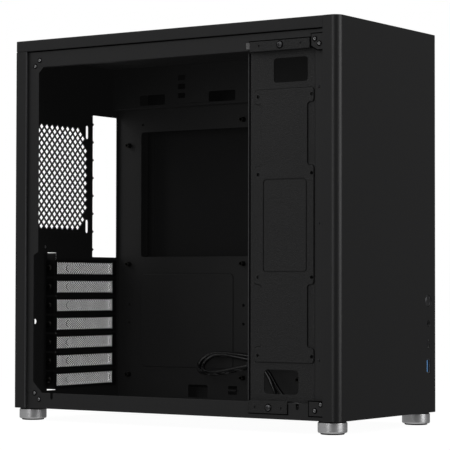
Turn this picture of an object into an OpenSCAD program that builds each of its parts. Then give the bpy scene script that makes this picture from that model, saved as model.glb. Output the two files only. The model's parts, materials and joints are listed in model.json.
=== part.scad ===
// Desktop computer tower: steel chassis with an aluminium front panel, top cover and rear corners.
// +X is the right-hand side seen from the front, the front faces -Y, +Z is up.
// The origin is the centre of the footprint, on the surface that the feet stand on.
// Inside the modules, y is measured from the front face and z from the underside of the case.

/* [Case] */
// Width across the side panels
body_w = 202; // [202:1:206]
// Depth from the front face to the rear corner columns
body_d = 400; // [400:1:404]
// Height without the feet
body_h = 390; // [390:1:394]
// Outer radius of the front panel's upright corners
corner_r = 9; // [6:0.5:10]
// Thickness of the aluminium skins
skin_t = 2; // [1.5:0.1:2.2]
// Thickness of the steel sheet
steel_t = 1; // [0.8:0.1:1]
// Depth of the front panel's side wings
wing_d = 18; // [16:1:18]
// Height of the top cover's side flange
cover_h = 11.6; // [10:0.2:12]

/* [Feet] */
// Diameter of a foot
foot_d = 28.8; // [26:0.2:30]
// Height of a foot
foot_h = 13; // [12:0.5:14]
// Distance of each foot's axis from the centre plane
foot_x = 83.7; // [80:0.1:85]
// Front feet, behind the front face
foot_front_y = 17; // [16:0.5:18]
// Rear feet, behind the front face
foot_rear_y = 388.6; // [384:0.2:390]

/* [Rear wall] */
// Width of the connector shield cut-out
io_w = 44.45; // [44:0.05:45]
// Height of the connector shield cut-out
io_h = 158.75; // [158:0.05:159]
// Pitch of the expansion slots
slot_pitch = 20.32; // [20.3:0.01:20.34]
// Number of expansion slots
slot_count = 7; // [5:1:7]
// Hole spacing of the rear fan
fan_spacing = 105; // [104.8:0.1:105.2]

/* [Front controls] */
// Diameter of the power button
button_d = 11.9; // [10:0.1:12.5]
// Travel of the power button
button_travel = 1.2; // [0.8:0.1:1.4]

/* [Hidden] */

half_w = body_w / 2;
// Expansion cards' tabs and their guard stand out behind the rear wall
guard_d = 12.5;
wall_y = body_d - 3;
guard_back_y = wall_y + steel_t + guard_d;
mid_y = guard_back_y / 2;

// Steel frame, set in from the skins on both sides
frame_x = half_w - 3;
frame_y0 = wing_d + 0.5;
frame_y1 = body_d - 17.9;
rail_top_z = body_h - 14;
rail_low_z = rail_top_z - 15;
rail_bottom_h = 16.5;
column_d = 16.7;
column_leg_w = 11;
cover_gap = 0.4;
plate_y = wing_d + 1.5;
rail_ledge_w = 6;
ledge_gap = 0.2;
notch_y = [48.1, 352];
notch_drop = 1.8;
notch_l = 10;
notch_r = 1.7;

// Opening between the posts on each side
post_rear_y = frame_y1 - 10.9;
post_rear_low_y = frame_y1 - 4.9;
post_low_z = 165;
post_corner = 6;
post_step = 3;
post_foot = [12, 11.5];
post_return_w = 6;
post_front_y = 31;
front_post_x = half_w - 7.8;

// Gussets on the rails' front ends, and the rivets, on (y, z)
gusset_t = 0.6;
top_gusset = [[frame_y0, 357.5], [25, 357.5], [32, 361.5], [32, 373], [frame_y0, 373]];
bottom_gusset = [frame_y0, 4.7, 34.7, 18.3];
rivet_r = 1.9;
rivet_h = 0.7;
frame_rivets = [[375.5, 369], [378, 364], [375.5, 6.5], [371, 4]];
gusset_rivets = [[28, 370], [23, 363.5], [24, 15], [29.5, 9.5]];
post_rivets = [[27, 322], [27, 190], [27, 58]];
post_rivet_r = 1.4;

// Pins on the removable skins and the clips they snap into; points on (x, z), (x, y) and (y, z)
pin_r = 2.4;
pin_hole_r = 3;
pin_head_r = 5;
pin_head_y = 12;
pin_tip = 3;
clip_r = 5;
side_clip_r = 4.5;
front_clip_d = 3;
clip_d = 4;
side_pin_y = [60, 340];
side_pin_z = [368.5, 8];
front_pin_points = [[-80, 30], [80, 30], [-80, 195], [80, 195], [-80, 360], [80, 360]];
top_pin_points = [[-85, 40], [85, 40], [-85, 370], [85, 370]];
side_pin_points = [for (y = side_pin_y, z = side_pin_z) [y, z]];

// Vents: distance from the centre plane, first slot, pitch, number, length and radius of the slots
floor_vents = [38, 130, 17, 14, 62, 2.5];
side_vents = [18, 150, 11, 12, 30, 2.2];
side_vent_y = 64;

// Motherboard tray and the standard hole pattern on it
tray_x = half_w - 23.4;
tray_y0 = 110;
tray_top_z = 329;
upper_tray_x = half_w - 35;
standoff_h = 6.35;
standoff_r = 3;
standoff_bore_r = 1.45;
board_rear_y = 381.5;
board_mid_y = board_rear_y - 154.94;
board_front_y = board_rear_y - 227.33;
board_low_z = 29.5;
board_mid_z = board_low_z + 124.46;
board_top_z = board_mid_z + 157.48;
board_top_rear_z = board_top_z - 22.86;
standoff_points = [
    [board_rear_y, board_low_z], [board_rear_y, board_mid_z], [board_rear_y, board_top_rear_z],
    [board_mid_y, board_low_z], [board_mid_y, board_mid_z], [board_mid_y, board_top_z],
    [board_front_y, board_low_z], [board_front_y, board_mid_z], [board_front_y, board_top_z],
];
spare_board_z = [108.3, 88];
tray_hole_r = 1.6;
tray_corner_hole = [363, 311.5];

// Openings in the tray and in the cover over its top edge, as [y0, z0, y1, z1]
cpu_window = [203, 162, 365.4, 303];
cable_slot_upper = [122, 120, 140, 300];
cable_slot_lower = [120, 30, 140, 90];
cable_hole_low = [274, 6, 300, 20.2];
hook_slots = [[235, 10.7, 246.4, 14.5], [235, 16.3, 246.4, 20.1]];
upper_holes = [[324.5, 332, 359.5, 343.6], [230.2, 332, 265.2, 343.6]];
tie_slots = [[297, 338, 306.7, 344], [297, 348, 306.7, 354], [297, 358, 306.7, 364]];

// Rear wall cut-outs
io_x = 29;
io_z = 161.6;
slot_top_z = 148.7;
slot_x0 = -34.8;
slot_x1 = 68;
slot_open_h = 14;
wall_split_z = 158.6;
wall_hole = [-70.5, 91];
wall_hole_r = 2.75;
guard_x0 = -56.4;
guard_z0 = 16;
guard_z1 = 165.5;
guard_screw_x = -54;
guard_screw_z = [10, 171.5];
guard_hole_r = 1.9;
guard_base_x = [-62, -57];
guard_ridge_x = -46;
guard_end_x = -33;
guard_gap = 1.3;
guard_outer_z = [guard_z0 + 0.4, guard_z1 - 0.3];
guard_tabs = [[-62, 5, -49, 18], [-62, 164, -49, 177]];
thumb_r = 3.6;
thumb_h = 6;
thumb_shank_r = 1.5;
fan_x = -33.7;
fan_z = 248.1;
fan_slot_l = 15;
fan_slot_r = 2.2;
fan_half_w = 53.5;
fan_half_h = 59.5;
fan_cut_w = 11;
fan_cut_h = 21;
mesh_pitch = 9;
mesh_diagonal = 7.1;

// Expansion slot covers
cover_plate_h = 18.4;
cover_t = 0.8;
cover_x1 = 72;
tab_x = -38.1;
tab_d = 11;
tab_screw_y = wall_y + 6.4;
tab_hole_r = 2;
tab_screw_r = 1.55;
tab_screw_l = 4.5;
tab_head_r = 3.2;
tab_head_h = 2;
ledge_z = [17.4, 164];
ledge_hole_r = 1.6;
ledge_foot = [8.5, 5];
ledge_foot_slots = [0.5, 2.5, 5.5];

// Drive panel on the left, in front of the main chamber
ssd_x = half_w - 8;
ssd_y0 = post_front_y + 0.3;
ssd_y1 = 105.4;
ssd_raise = 1.2;
ssd_rows_z = [315.5, 238.9, 138, 61.4];
ssd_columns_y = [34.3, 96.02];
ssd_hole_r = 1.75;
ssd_return_d = 3.6;
ssd_lip = 4.6;
ssd_window_top = [39.5, 328.5, 78.5, 352.5];
ssd_window_low = [50, 24, 89.4, 47.8];
field_wide_y = [ssd_y0, 100.3];
field_waist_y = [39.4, 92.5];
field_wide_z = [[55, 69.5], [131, 246.5], [308, 322]];
field_waist_z = [[60, 140], [240, 315]];
island = [39.5, 142.8, 90.3, 234.4];
island_line = 1.5;
top_tab = [34, 359.7, 102, 369.5];
bottom_tab = [59.4, 5.5, 103.3, 17.6];
top_tab_screw = [68, 365];
bottom_tab_screw = [81, 11];
top_tab_holes = [[44, 365], [92, 365]];
bottom_tab_holes = [[66, 11], [96.6, 11]];
tab_screw_hole_r = 1.9;
tab_small_hole_r = 1.2;
ssd_screw_r = 3.1;
ssd_screw_h = 1.2;

// Front panel controls, one above the other
control_x = 79.6;
button_z = 114.6;
audio_z = 91.4;
usb_c_z = 70.7;
usb_a_z = 47.8;
button_gap = 0.3;
usb_a_size = [6.9, 14.4];
usb_c_size = [3.4, 9.1];
audio_r = 3.1;
socket_gap = 0.35;
socket_y = 0.4;
shell_t = 0.4;
usb_a_depth = 12;
usb_a_tongue = [2, 12];
usb_c_depth = 9;
usb_c_tongue = [0.7, 6];
tongue_y = [1.6, 2.2];
audio_bore_r = 1.8;
audio_depth = 13;
board_y = 14;
board_t = 1.6;
board_half_w = 9;
board_z = [36, 123];
spacer_z = [38.5, 120.5];
spacer_r = 2;
plate_window = [control_x - 7, 41, control_x + 7, 118];
button_y = 0.3;
button_flange = 1.2;
flange_t = 0.8;
stem_r = 1.5;
switch_y = 7;
switch_size = 6;
plunger_l = 2;
plunger_r = 1.6;

// Right side panel and its two folded edges
side_t = 1.4;
side_fold_t = 0.9;
side_fold_z = [22, 354];
front_fold_w = 8;
rear_fold_w = 19;

// Power supply bracket in the front chamber
psu_z = 322;
psu_x0 = -84;
psu_mouth = [-66, 34, 62, 102];
psu_holes = [[-72, 28], [66, 28], [-72, 92]];
psu_hole_r = 1.9;

// Feet: rubber pad let into the metal ring, thin washer under the case
foot_r = foot_d / 2;
foot_pad_h = 2.2;
foot_washer_h = 1.4;
pad_r = foot_r - 2.6;
pad_top_z = -foot_h + foot_pad_h + 1;
pad_chamfer = 0.8;
washer_r = foot_r - 0.9;

// Front cables: route points along the tray, round the turn and back to the floor
usb_cable_r = 2.5;
audio_cable_r = 2.2;
cable_sides = 8;
dense_step = 13;
usb_plug_size = [16, 22, 9];
audio_plug_size = [14, 12, 9];
tie_y = 196;
tie_d = 4;
tie_t = 1.2;
tie_x0 = 47;
tie_z = [34, 58.5];
tie_corner = 4;
usb_route = [
    [76, 15.6, 50], [76, 32, 50], [73.5, 75, 49], [70.5, 130, 49.5], [70, 190, 51.5],
    [70.8, 228, 54.5], [71.2, 246, 55.4], [71.1, 259, 55.2], [70.2, 268, 53], [67.7, 273.7, 48.7],
    [64.3, 275.5, 43.5], [60.9, 273.7, 38.7], [58.4, 268, 35.6], [57.2, 259, 34.6],
    [56.4, 244, 35.4], [56.5, 216, 40], [56.5, 198, 43.5], [55.5, 187, 42.5], [53.5, 178, 36.5],
    [51, 169, 26], [49, 159, 15], [47.5, 147, 8], [46.5, 135, 5.5], [46, 124, 5.5],
];
audio_route = [
    [76, 15.6, 88], [76, 26, 88], [75.4, 42, 84], [73, 64, 74.5], [69.5, 92, 60.5], [66, 120, 51],
    [64.4, 155, 47], [64.2, 195, 48], [65.2, 228, 52.4], [65.8, 241, 54], [65.6, 252, 54],
    [64.4, 259, 52.4], [61.8, 263.7, 48.6], [58.2, 265.5, 43.8], [54.4, 263.6, 39.2],
    [51.8, 258.6, 36.4], [50.6, 250, 35.6], [50.4, 236, 37.2], [51, 212, 42], [51, 196, 44],
    [49.5, 184, 41.5], [46, 174, 34], [41, 165, 23.5], [34, 156, 13.5], [25, 148, 7.5],
    [15, 141, 5.5], [6, 135, 5.5],
];

steel_black = "#1b1b1d";
skin_black = "#262628";
dark = "#0e0e10";

// Moves the case from its own corner to the part's origin
module placed() translate([0, -mid_y, foot_h]) children();

// Sheets: an outline in (y, z), (x, z) or (x, y), drawn out by t along the third axis
module sheet_yz(x, t = steel_t) translate([x, 0, 0]) rotate([90, 0, 90]) linear_extrude(t) children();
module sheet_xz(y, t = steel_t) translate([0, y + t, 0]) rotate([90, 0, 0]) linear_extrude(t) children();
module sheet_xy(z, t = steel_t) translate([0, 0, z]) linear_extrude(t) children();

module rect(x0, y0, x1, y1) translate([x0, y0]) square([x1 - x0, y1 - y0]);
module box_rect(b) rect(b[0], b[1], b[2], b[3]);

module round_rect(x0, y0, x1, y1, r) {
    rect(x0 + r, y0, x1 - r, y1);
    rect(x0, y0 + r, x1, y1 - r);
    for (x = [x0 + r, x1 - r], y = [y0 + r, y1 - r])
        translate([x, y]) circle(r, $fn = 32);
}

module round_box(b, r) round_rect(b[0], b[1], b[2], b[3], r);

// Straight slots with round ends, centred on a point
module slot_along_a(a, b, len, r) {
    rect(a - len / 2 + r, b - r, a + len / 2 - r, b + r);
    for (s = [-1, 1]) translate([a + s * (len / 2 - r), b]) circle(r, $fn = 24);
}

module slot_along_b(a, b, len, r) {
    rect(a - r, b - len / 2 + r, a + r, b + len / 2 - r);
    for (s = [-1, 1]) translate([a, b + s * (len / 2 - r)]) circle(r, $fn = 24);
}

module hole(a, b, r) translate([a, b]) circle(r, $fn = 24);
module holes(points, r) for (point = points) hole(point[0], point[1], r);

// Two rows of vent slots about the line a = middle
module vent_rows(v, middle = 0) for (s = [-1, 1], i = [0:v[3] - 1])
    slot_along_a(middle + s * v[0], v[1] + v[2] * i, v[4], v[5]);

// Rods along X and Y, starting at a point
module rod_x(x, y, z, len, r) translate([x, y, z]) rotate([0, 90, 0]) cylinder(len, r, r, $fn = 24);
module rod_y(x, y, z, len, r) translate([x, y, z]) rotate([-90, 0, 0]) cylinder(len, r, r, $fn = 24);
module rod_z(x, y, z, len, r) translate([x, y, z]) cylinder(len, r, r, $fn = 32);

// ---------------------------------------------------------------- chassis sheets

module floor_pan() placed() color(steel_black) sheet_xy(0) difference() {
    rect(-frame_x + steel_t, frame_y0, frame_x - steel_t, wall_y);
    vent_rows(floor_vents);
}

module top_pan() placed() color(steel_black) sheet_xy(rail_top_z - steel_t) difference() {
    rect(-frame_x + steel_t, frame_y0, frame_x - steel_t, wall_y);
    holes(top_pin_points, pin_hole_r);
}

// Window for the card tabs, and the two screw holes of its guard
module guard_cutouts() {
    rect(guard_x0, guard_z0, slot_x0, guard_z1);
    for (z = guard_screw_z) hole(guard_screw_x, z, guard_hole_r);
}

// Upper sheet of the rear wall, with the connector shield's cut-out and the fan's
module rear_wall() placed() color(steel_black) sheet_xz(wall_y) difference() {
    rect(-frame_x + steel_t, wall_split_z, frame_x - steel_t, rail_top_z - steel_t);
    round_rect(io_x, io_z, io_x + io_w, io_z + io_h, 1);
    translate([fan_x, fan_z]) fan_outline();
    for (sx = [-1, 1], sz = [-1, 1])
        slot_along_b(fan_x + sx * fan_spacing / 2, fan_z + sz * fan_spacing / 2, fan_slot_l, fan_slot_r);
    guard_cutouts();
}

// Lower sheet of the rear wall, with the expansion slots
module slot_wall() placed() color(steel_black) sheet_xz(wall_y) difference() {
    rect(-frame_x + steel_t, steel_t, frame_x - steel_t, wall_split_z);
    guard_cutouts();
    for (i = [0:slot_count - 1]) {
        z = slot_top_z - slot_pitch * i;
        rect(slot_x0 - 1, z - slot_open_h / 2, slot_x1, z + slot_open_h / 2);
    }
    hole(wall_hole[0], wall_hole[1], wall_hole_r);
}

module fan_outline() polygon([
    for (q = [[1, 1], [-1, 1], [-1, -1], [1, -1]], k = [0, 1])
        let (first = (q[0] * q[1] > 0) ? k : 1 - k)
        [q[0] * (fan_half_w - first * fan_cut_w), q[1] * (fan_half_h - (1 - first) * fan_cut_h)]
]);

// Inside test for a mesh hole, so that a whole diamond stays clear of the outline's edges
function mesh_fits(x, z, e) = abs(x) + e < fan_half_w && abs(z) + e < fan_half_h &&
    (fan_half_w - abs(x)) / fan_cut_w + (fan_half_h - abs(z)) / fan_cut_h > 1 + e / fan_cut_w * 0.9;

module rear_fan_grille() placed() color(steel_black) sheet_xz(wall_y) translate([fan_x, fan_z])
    difference() {
        fan_outline();
        e = mesh_diagonal / 2;
        for (i = [-12:12], j = [-13:13])
            if ((i + j) % 2 == 0 && mesh_fits(i * mesh_pitch / 2, j * mesh_pitch / 2, e))
                translate([i, j] * mesh_pitch / 2) rotate(45) square(e * sqrt(2), center = true);
    }

module motherboard_tray() placed() color(steel_black) sheet_yz(tray_x) difference() {
    rect(tray_y0, steel_t, wall_y, tray_top_z);
    for (opening = [cpu_window, cable_slot_upper, cable_slot_lower]) round_box(opening, 3);
    round_box(cable_hole_low, 2);
    for (slot = hook_slots) box_rect(slot);
    for (y = [board_rear_y, board_mid_y], z = spare_board_z) hole(y, z, tray_hole_r);
    holes([tray_corner_hole], tray_hole_r);
}

// Cover over the top edge of the tray, stepped into the chamber
module upper_tray() placed() color(steel_black) {
    sheet_yz(upper_tray_x) difference() {
        rect(tray_y0, tray_top_z, wall_y, rail_top_z - steel_t);
        for (opening = upper_holes) round_box(opening, 2);
        for (slot = tie_slots) box_rect(slot);
    }
    sheet_xy(tray_top_z) rect(upper_tray_x, tray_y0, tray_x + steel_t, wall_y);
}

module front_plate() placed() color(steel_black) sheet_xz(plate_y) difference() {
    plate_x = front_post_x - steel_t;
    rect(-plate_x, steel_t, plate_x, rail_top_z - steel_t);
    round_box(plate_window, 2);
    holes(front_pin_points, pin_hole_r);
}

// ---------------------------------------------------------------- side frames

// Everything on the right side is the left side mirrored, unless it says otherwise
module on_side(side) mirror([side > 0 ? 1 : 0, 0, 0]) children();

module top_rail(pins) {
    sheet_yz(-frame_x) difference() {
        rect(frame_y0, rail_low_z, frame_y1, rail_top_z);
        if (pins) for (y = side_pin_y) hole(y, side_pin_z[0], pin_hole_r);
    }
    sheet_xy(rail_low_z)
        rect(-frame_x + steel_t, post_front_y + ledge_gap, -frame_x + rail_ledge_w, post_rear_y - ledge_gap);
}

module bottom_rail(pins) sheet_yz(-frame_x) difference() {
    rect(frame_y0, 0, frame_y1, rail_bottom_h);
    if (pins) for (y = side_pin_y) hole(y, side_pin_z[1], pin_hole_r);
    if (!pins) for (y = notch_y) slot_along_b(y, rail_bottom_h - notch_drop, notch_l, notch_r);
}

module rear_post() {
    sheet_yz(-frame_x) polygon([
        [frame_y1, rail_bottom_h], [frame_y1, rail_low_z], [post_rear_y - post_corner, rail_low_z],
        [post_rear_y, rail_low_z - post_corner], [post_rear_y, post_low_z],
        [post_rear_low_y, post_low_z - post_step], [post_rear_low_y, rail_bottom_h + post_foot[1]],
        [post_rear_low_y - post_foot[0], rail_bottom_h],
    ]);
    sheet_xz(frame_y1 - steel_t)
        rect(-frame_x + steel_t, rail_bottom_h, -frame_x + post_return_w + steel_t, rail_low_z);
    sheet_yz(-frame_x + post_return_w) rect(frame_y1, rail_bottom_h, wall_y, rail_low_z);
}

module front_post() sheet_yz(-front_post_x) rect(frame_y0, rail_bottom_h, post_front_y, rail_low_z);

module left_top_rail() placed() color(skin_black) on_side(-1) top_rail(false);
module right_top_rail() placed() color(steel_black) on_side(1) top_rail(true);
module left_bottom_rail() placed() color(skin_black) on_side(-1) bottom_rail(false);
module right_bottom_rail() placed() color(steel_black) on_side(1) bottom_rail(true);
module left_rear_post() placed() color(skin_black) on_side(-1) rear_post();
module right_rear_post() placed() color(steel_black) on_side(1) rear_post();
module left_front_post() placed() color(skin_black) on_side(-1) front_post();
module right_front_post() placed() color(steel_black) on_side(1) front_post();

// Aluminium corner: a side leg and a rear leg that covers the rear wall's edge
module rear_column() {
    column_top = body_h - cover_h - 1;
    sheet_xy(0, column_top) {
        rect(-half_w, body_d - column_d, -half_w + skin_t, body_d);
        rect(-half_w + skin_t, body_d - skin_t, -half_w + column_leg_w, body_d);
    }
}

module rear_column_left() placed() color(skin_black) on_side(-1) rear_column();
module rear_column_right() placed() color(skin_black) on_side(1) rear_column();

// Plates that tie the rails to the front posts, on the outside of each rail's front end
module corner_gussets() placed() color(skin_black) for (side = [-1, 1]) on_side(side) {
    sheet_yz(-frame_x - gusset_t, gusset_t) {
        polygon(top_gusset);
        box_rect(bottom_gusset);
    }
}

module rivets() placed() color("#3a3a3c") for (side = [-1, 1]) on_side(side) {
    for (q = frame_rivets) rod_x(-frame_x - rivet_h, q[0], q[1], rivet_h, rivet_r);
    for (q = gusset_rivets) rod_x(-frame_x - gusset_t - rivet_h, q[0], q[1], rivet_h, rivet_r);
    for (q = post_rivets) rod_x(-front_post_x - rivet_h, q[0], q[1], rivet_h, post_rivet_r);
}

// ---------------------------------------------------------------- chassis fittings

module standoffs() placed() color(dark) for (q = standoff_points) difference() {
    rod_x(tray_x - standoff_h, q[0], q[1], standoff_h, standoff_r);
    rod_x(tray_x - standoff_h - 1, q[0], q[1], standoff_h - 0.5, standoff_bore_r);
}

// Blanking plate of one slot, with the tab that its screw holds
module slot_cover(index) placed() {
    z = slot_top_z - slot_pitch * (index - 1);
    color(dark) difference() {
        union() {
            sheet_xz(wall_y - cover_t, cover_t)
                rect(tab_x - cover_t, z - cover_plate_h / 2, cover_x1, z + cover_plate_h / 2);
            sheet_yz(tab_x - cover_t, cover_t)
                rect(wall_y, z - cover_plate_h / 2, wall_y + tab_d, z + cover_plate_h / 2);
        }
        rod_x(tab_x - cover_t - 1, tab_screw_y, z, cover_t + 2, tab_hole_r);
    }
}

module slot_cover_1() slot_cover(1);
module slot_cover_2() slot_cover(2);
module slot_cover_3() slot_cover(3);
module slot_cover_4() slot_cover(4);
module slot_cover_5() slot_cover(5);
module slot_cover_6() slot_cover(6);
module slot_cover_7() slot_cover(7);

// Folded ledge behind the rear wall that the tabs are screwed to
module slot_ledge() placed() color(steel_black) {
    difference() {
        sheet_yz(tab_x) rect(wall_y + steel_t, ledge_z[0], wall_y + tab_d, ledge_z[1]);
        for (i = [0:slot_count - 1])
            rod_x(tab_x - 1, tab_screw_y, slot_top_z - slot_pitch * i, steel_t + 2, ledge_hole_r);
    }
    // Feet on the webs between the slots
    for (i = ledge_foot_slots) {
        z = slot_top_z - slot_pitch * i - ledge_foot[1] / 2;
        sheet_xz(wall_y + steel_t)
            rect(tab_x + steel_t, z, tab_x + steel_t + ledge_foot[0], z + ledge_foot[1]);
    }
}

module slot_screws() placed() color("#2c2c2e") for (i = [0:slot_count - 1]) {
    z = slot_top_z - slot_pitch * i;
    rod_x(tab_x - cover_t - tab_head_h, tab_screw_y, z, tab_head_h, tab_head_r);
    rod_x(tab_x - cover_t, tab_screw_y, z, tab_screw_l, tab_screw_r);
}

// Folded guard over the tabs: a flange on the wall, a slanted side, a back and a straight side
// that ends clear of the ledge's feet
module guard_section() polygon([
    [guard_base_x[0], wall_y + steel_t], [guard_base_x[1] + steel_t, wall_y + steel_t],
    [guard_ridge_x + steel_t, guard_back_y - steel_t], [guard_end_x - steel_t, guard_back_y - steel_t],
    [guard_end_x - steel_t, wall_y + steel_t + guard_gap], [guard_end_x, wall_y + steel_t + guard_gap],
    [guard_end_x, guard_back_y], [guard_ridge_x, guard_back_y],
    [guard_base_x[1], wall_y + 2 * steel_t], [guard_base_x[0], wall_y + 2 * steel_t],
]);

module slot_guard() placed() color(skin_black) difference() {
    union() {
        sheet_xy(guard_outer_z[0], guard_outer_z[1] - guard_outer_z[0]) guard_section();
        for (tab = guard_tabs) sheet_xz(wall_y + steel_t) box_rect(tab);
    }
    for (z = guard_screw_z) rod_y(guard_screw_x, wall_y, z, 3 * steel_t, guard_hole_r);
}

module slot_guard_thumbscrews() placed() color("#2c2c2e") for (z = guard_screw_z) {
    rod_y(guard_screw_x, wall_y + 2 * steel_t, z, thumb_h, thumb_r);
    rod_y(guard_screw_x, wall_y - 1, z, 2 * steel_t + 1, thumb_shank_r);
}

module psu_bracket() placed() color(steel_black) sheet_xy(psu_z) difference() {
    rect(psu_x0, plate_y + steel_t, tray_x + steel_t, tray_y0);
    box_rect(psu_mouth);
    holes(psu_holes, psu_hole_r);
}

// Clips that the removable skins' pins snap into
module panel_sockets() placed() color(dark) {
    for (q = front_pin_points) difference() {
        rod_y(q[0], plate_y + steel_t, q[1], front_clip_d, clip_r);
        rod_y(q[0], plate_y, q[1], front_clip_d + 2 * steel_t, pin_hole_r);
    }
    for (q = top_pin_points) difference() {
        rod_z(q[0], q[1], rail_top_z - steel_t - clip_d, clip_d, clip_r);
        rod_z(q[0], q[1], rail_top_z - 2 * steel_t - clip_d, clip_d + 2 * steel_t, pin_hole_r);
    }
    for (q = side_pin_points) difference() {
        rod_x(frame_x - steel_t - clip_d, q[0], q[1], clip_d, side_clip_r);
        rod_x(frame_x - 2 * steel_t - clip_d, q[0], q[1], clip_d + 2 * steel_t, pin_hole_r);
    }
}

// ---------------------------------------------------------------- feet

// Turned aluminium ring with small chamfers, closed at the top
module foot_ring(side, y) placed() color("silver") translate([side * foot_x, y, 0]) rotate_extrude($fn = 64)
    polygon([
        [0, pad_top_z], [pad_r, pad_top_z], [pad_r, pad_top_z - 1.6], [washer_r, pad_top_z - 1.6],
        [foot_r, pad_top_z - 0.7], [foot_r, -foot_washer_h - 0.5],
        [foot_r - 0.5, -foot_washer_h], [0, -foot_washer_h],
    ]);

module foot_front_left() foot_ring(-1, foot_front_y);
module foot_front_right() foot_ring(1, foot_front_y);
module foot_rear_left() foot_ring(-1, foot_rear_y);
module foot_rear_right() foot_ring(1, foot_rear_y);

module at_feet() placed() for (side = [-1, 1], y = [foot_front_y, foot_rear_y])
    translate([side * foot_x, y, 0]) children();

module foot_pads() color("#161616") at_feet() rotate_extrude($fn = 64) polygon([
    [0, -foot_h], [pad_r - pad_chamfer, -foot_h], [pad_r, -foot_h + pad_chamfer],
    [pad_r, pad_top_z], [0, pad_top_z],
]);

module foot_washers() color("#161616") at_feet()
    translate([0, 0, -foot_washer_h]) cylinder(foot_washer_h, washer_r, washer_r, $fn = 64);

// ---------------------------------------------------------------- front controls

// Circuit board of the front sockets, on two spacers
module io_board() placed() color("#0f2016") {
    sheet_xz(board_y, board_t)
        rect(control_x - board_half_w, board_z[0], control_x + board_half_w, board_z[1]);
    for (z = spacer_z) rod_y(control_x, board_y + board_t, z, plate_y - board_y - board_t, spacer_r);
}

// Upright rectangle of a socket, centred on the column of controls and grown by d all round
module control_rect(z, size, d = 0) rect(
    control_x - size[0] / 2 - d, z - size[1] / 2 - d, control_x + size[0] / 2 + d, z + size[1] / 2 + d);

// Connector shell that fills the panel's hole, open at the front
module socket_shell(z, size, depth) difference() {
    sheet_xz(socket_y, board_y - socket_y) control_rect(z, size);
    sheet_xz(-1, depth + 1) control_rect(z, size, -shell_t);
}

module usb_a_socket() placed() {
    color("#8a8a8c") socket_shell(usb_a_z, usb_a_size, usb_a_depth);
    color("#2f55c8") sheet_xz(tongue_y[0], usb_a_depth + steel_t - tongue_y[0])
        translate([-usb_a_tongue[0] * 0.8, 0]) control_rect(usb_a_z, usb_a_tongue);
}

module usb_c_socket() placed() {
    color("#6a6a6c") socket_shell(usb_c_z, usb_c_size, usb_c_depth);
    color(dark) sheet_xz(tongue_y[1], usb_c_depth + steel_t - tongue_y[1])
        control_rect(usb_c_z, usb_c_tongue);
}

module audio_socket() placed() color(dark) difference() {
    rod_y(control_x, socket_y, audio_z, board_y - socket_y, audio_r);
    rod_y(control_x, -1, audio_z, audio_depth, audio_bore_r);
}

module power_switch() placed() color(dark) {
    sheet_xz(switch_y + plunger_l, board_y - switch_y - plunger_l)
        control_rect(button_z, [switch_size, switch_size]);
    rod_y(control_x, switch_y, button_z, plunger_l, plunger_r);
}

// ---------------------------------------------------------------- cables

// Tube swept along a list of points by parallel sections
function unit(v) = v / norm(v);
function at(p, i) = p[max(0, min(len(p) - 1, i))];
function curve(p, i, t) = let (a = at(p, i - 1), b = at(p, i), c = at(p, i + 1), d = at(p, i + 2))
    0.5 * ((2 * b) + (c - a) * t + (2 * a - 5 * b + 4 * c - d) * t * t + (3 * b - a - 3 * c + d) * t * t * t);
function dense(p) = [
    for (i = [0:len(p) - 2], t = norm(p[i + 1] - p[i]) > dense_step ? [0, 0.5] : [0]) curve(p, i, t),
    p[len(p) - 1],
];
function heading(q, i) = unit(at(q, i + 1) - at(q, i - 1));
function normals(q) = [for (i = 0, n = unit(cross([0, 0, 1], heading(q, 0))); i < len(q);
    i = i + 1, n = i < len(q) ? unit(n - (n * heading(q, i)) * heading(q, i)) : n) n];

module tube(points, r) {
    q = dense(points);
    n = normals(q);
    count = len(q);
    rings = [for (i = [0:count - 1], k = [0:cable_sides - 1])
        let (a = 360 * k / cable_sides, side = cross(heading(q, i), n[i]))
        q[i] + r * (cos(a) * n[i] + sin(a) * side)];
    skin = [for (i = [0:count - 2], k = [0:cable_sides - 1])
        let (a = i * cable_sides + k, b = i * cable_sides + (k + 1) % cable_sides)
        [a, a + cable_sides, b + cable_sides, b]];
    first = [for (k = [0:cable_sides - 1]) k];
    last = [for (k = [cable_sides - 1:-1:0]) (count - 1) * cable_sides + k];
    polyhedron(rings, concat(skin, [first, last]), convexity = 8);
}

module usb_cable() placed() color(dark) tube(usb_route, usb_cable_r);
module audio_cable() placed() color(dark) tube(audio_route, audio_cable_r);

// Internal plug: a flat housing lying on the floor, square on the end of its cable
module floor_plug(route, size) {
    tip = route[len(route) - 1];
    way = tip - route[len(route) - 2];
    translate([tip[0], tip[1], 0]) rotate(atan2(way[1], way[0]))
        translate([0, -size[1] / 2, steel_t]) cube(size);
}

module usb_plug() placed() color("#141416") floor_plug(usb_route, usb_plug_size);
module audio_plug() placed() color("#141416") floor_plug(audio_route, audio_plug_size);

// Strap round the bundle, looped through a hook on the tray
module cable_tie() placed() color(dark) difference() {
    sheet_xz(tie_y, tie_d) round_rect(tie_x0, tie_z[0], tray_x, tie_z[1], tie_corner);
    sheet_xz(tie_y - 1, tie_d + 2) round_rect(
        tie_x0 + tie_t, tie_z[0] + tie_t, tray_x - tie_t, tie_z[1] - tie_t, tie_corner - 1);
}

// ---------------------------------------------------------------- front panel and button

// Upright profile: flat front, two round corners and two wings
module front_profile(inset) {
    r = corner_r - inset;
    x = half_w - inset;
    rect(-x, corner_r, x, wing_d);
    rect(-x + r, inset, x - r, corner_r);
    for (s = [-1, 1]) translate([s * (x - r), corner_r]) circle(r, $fn = 96);
}

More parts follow.
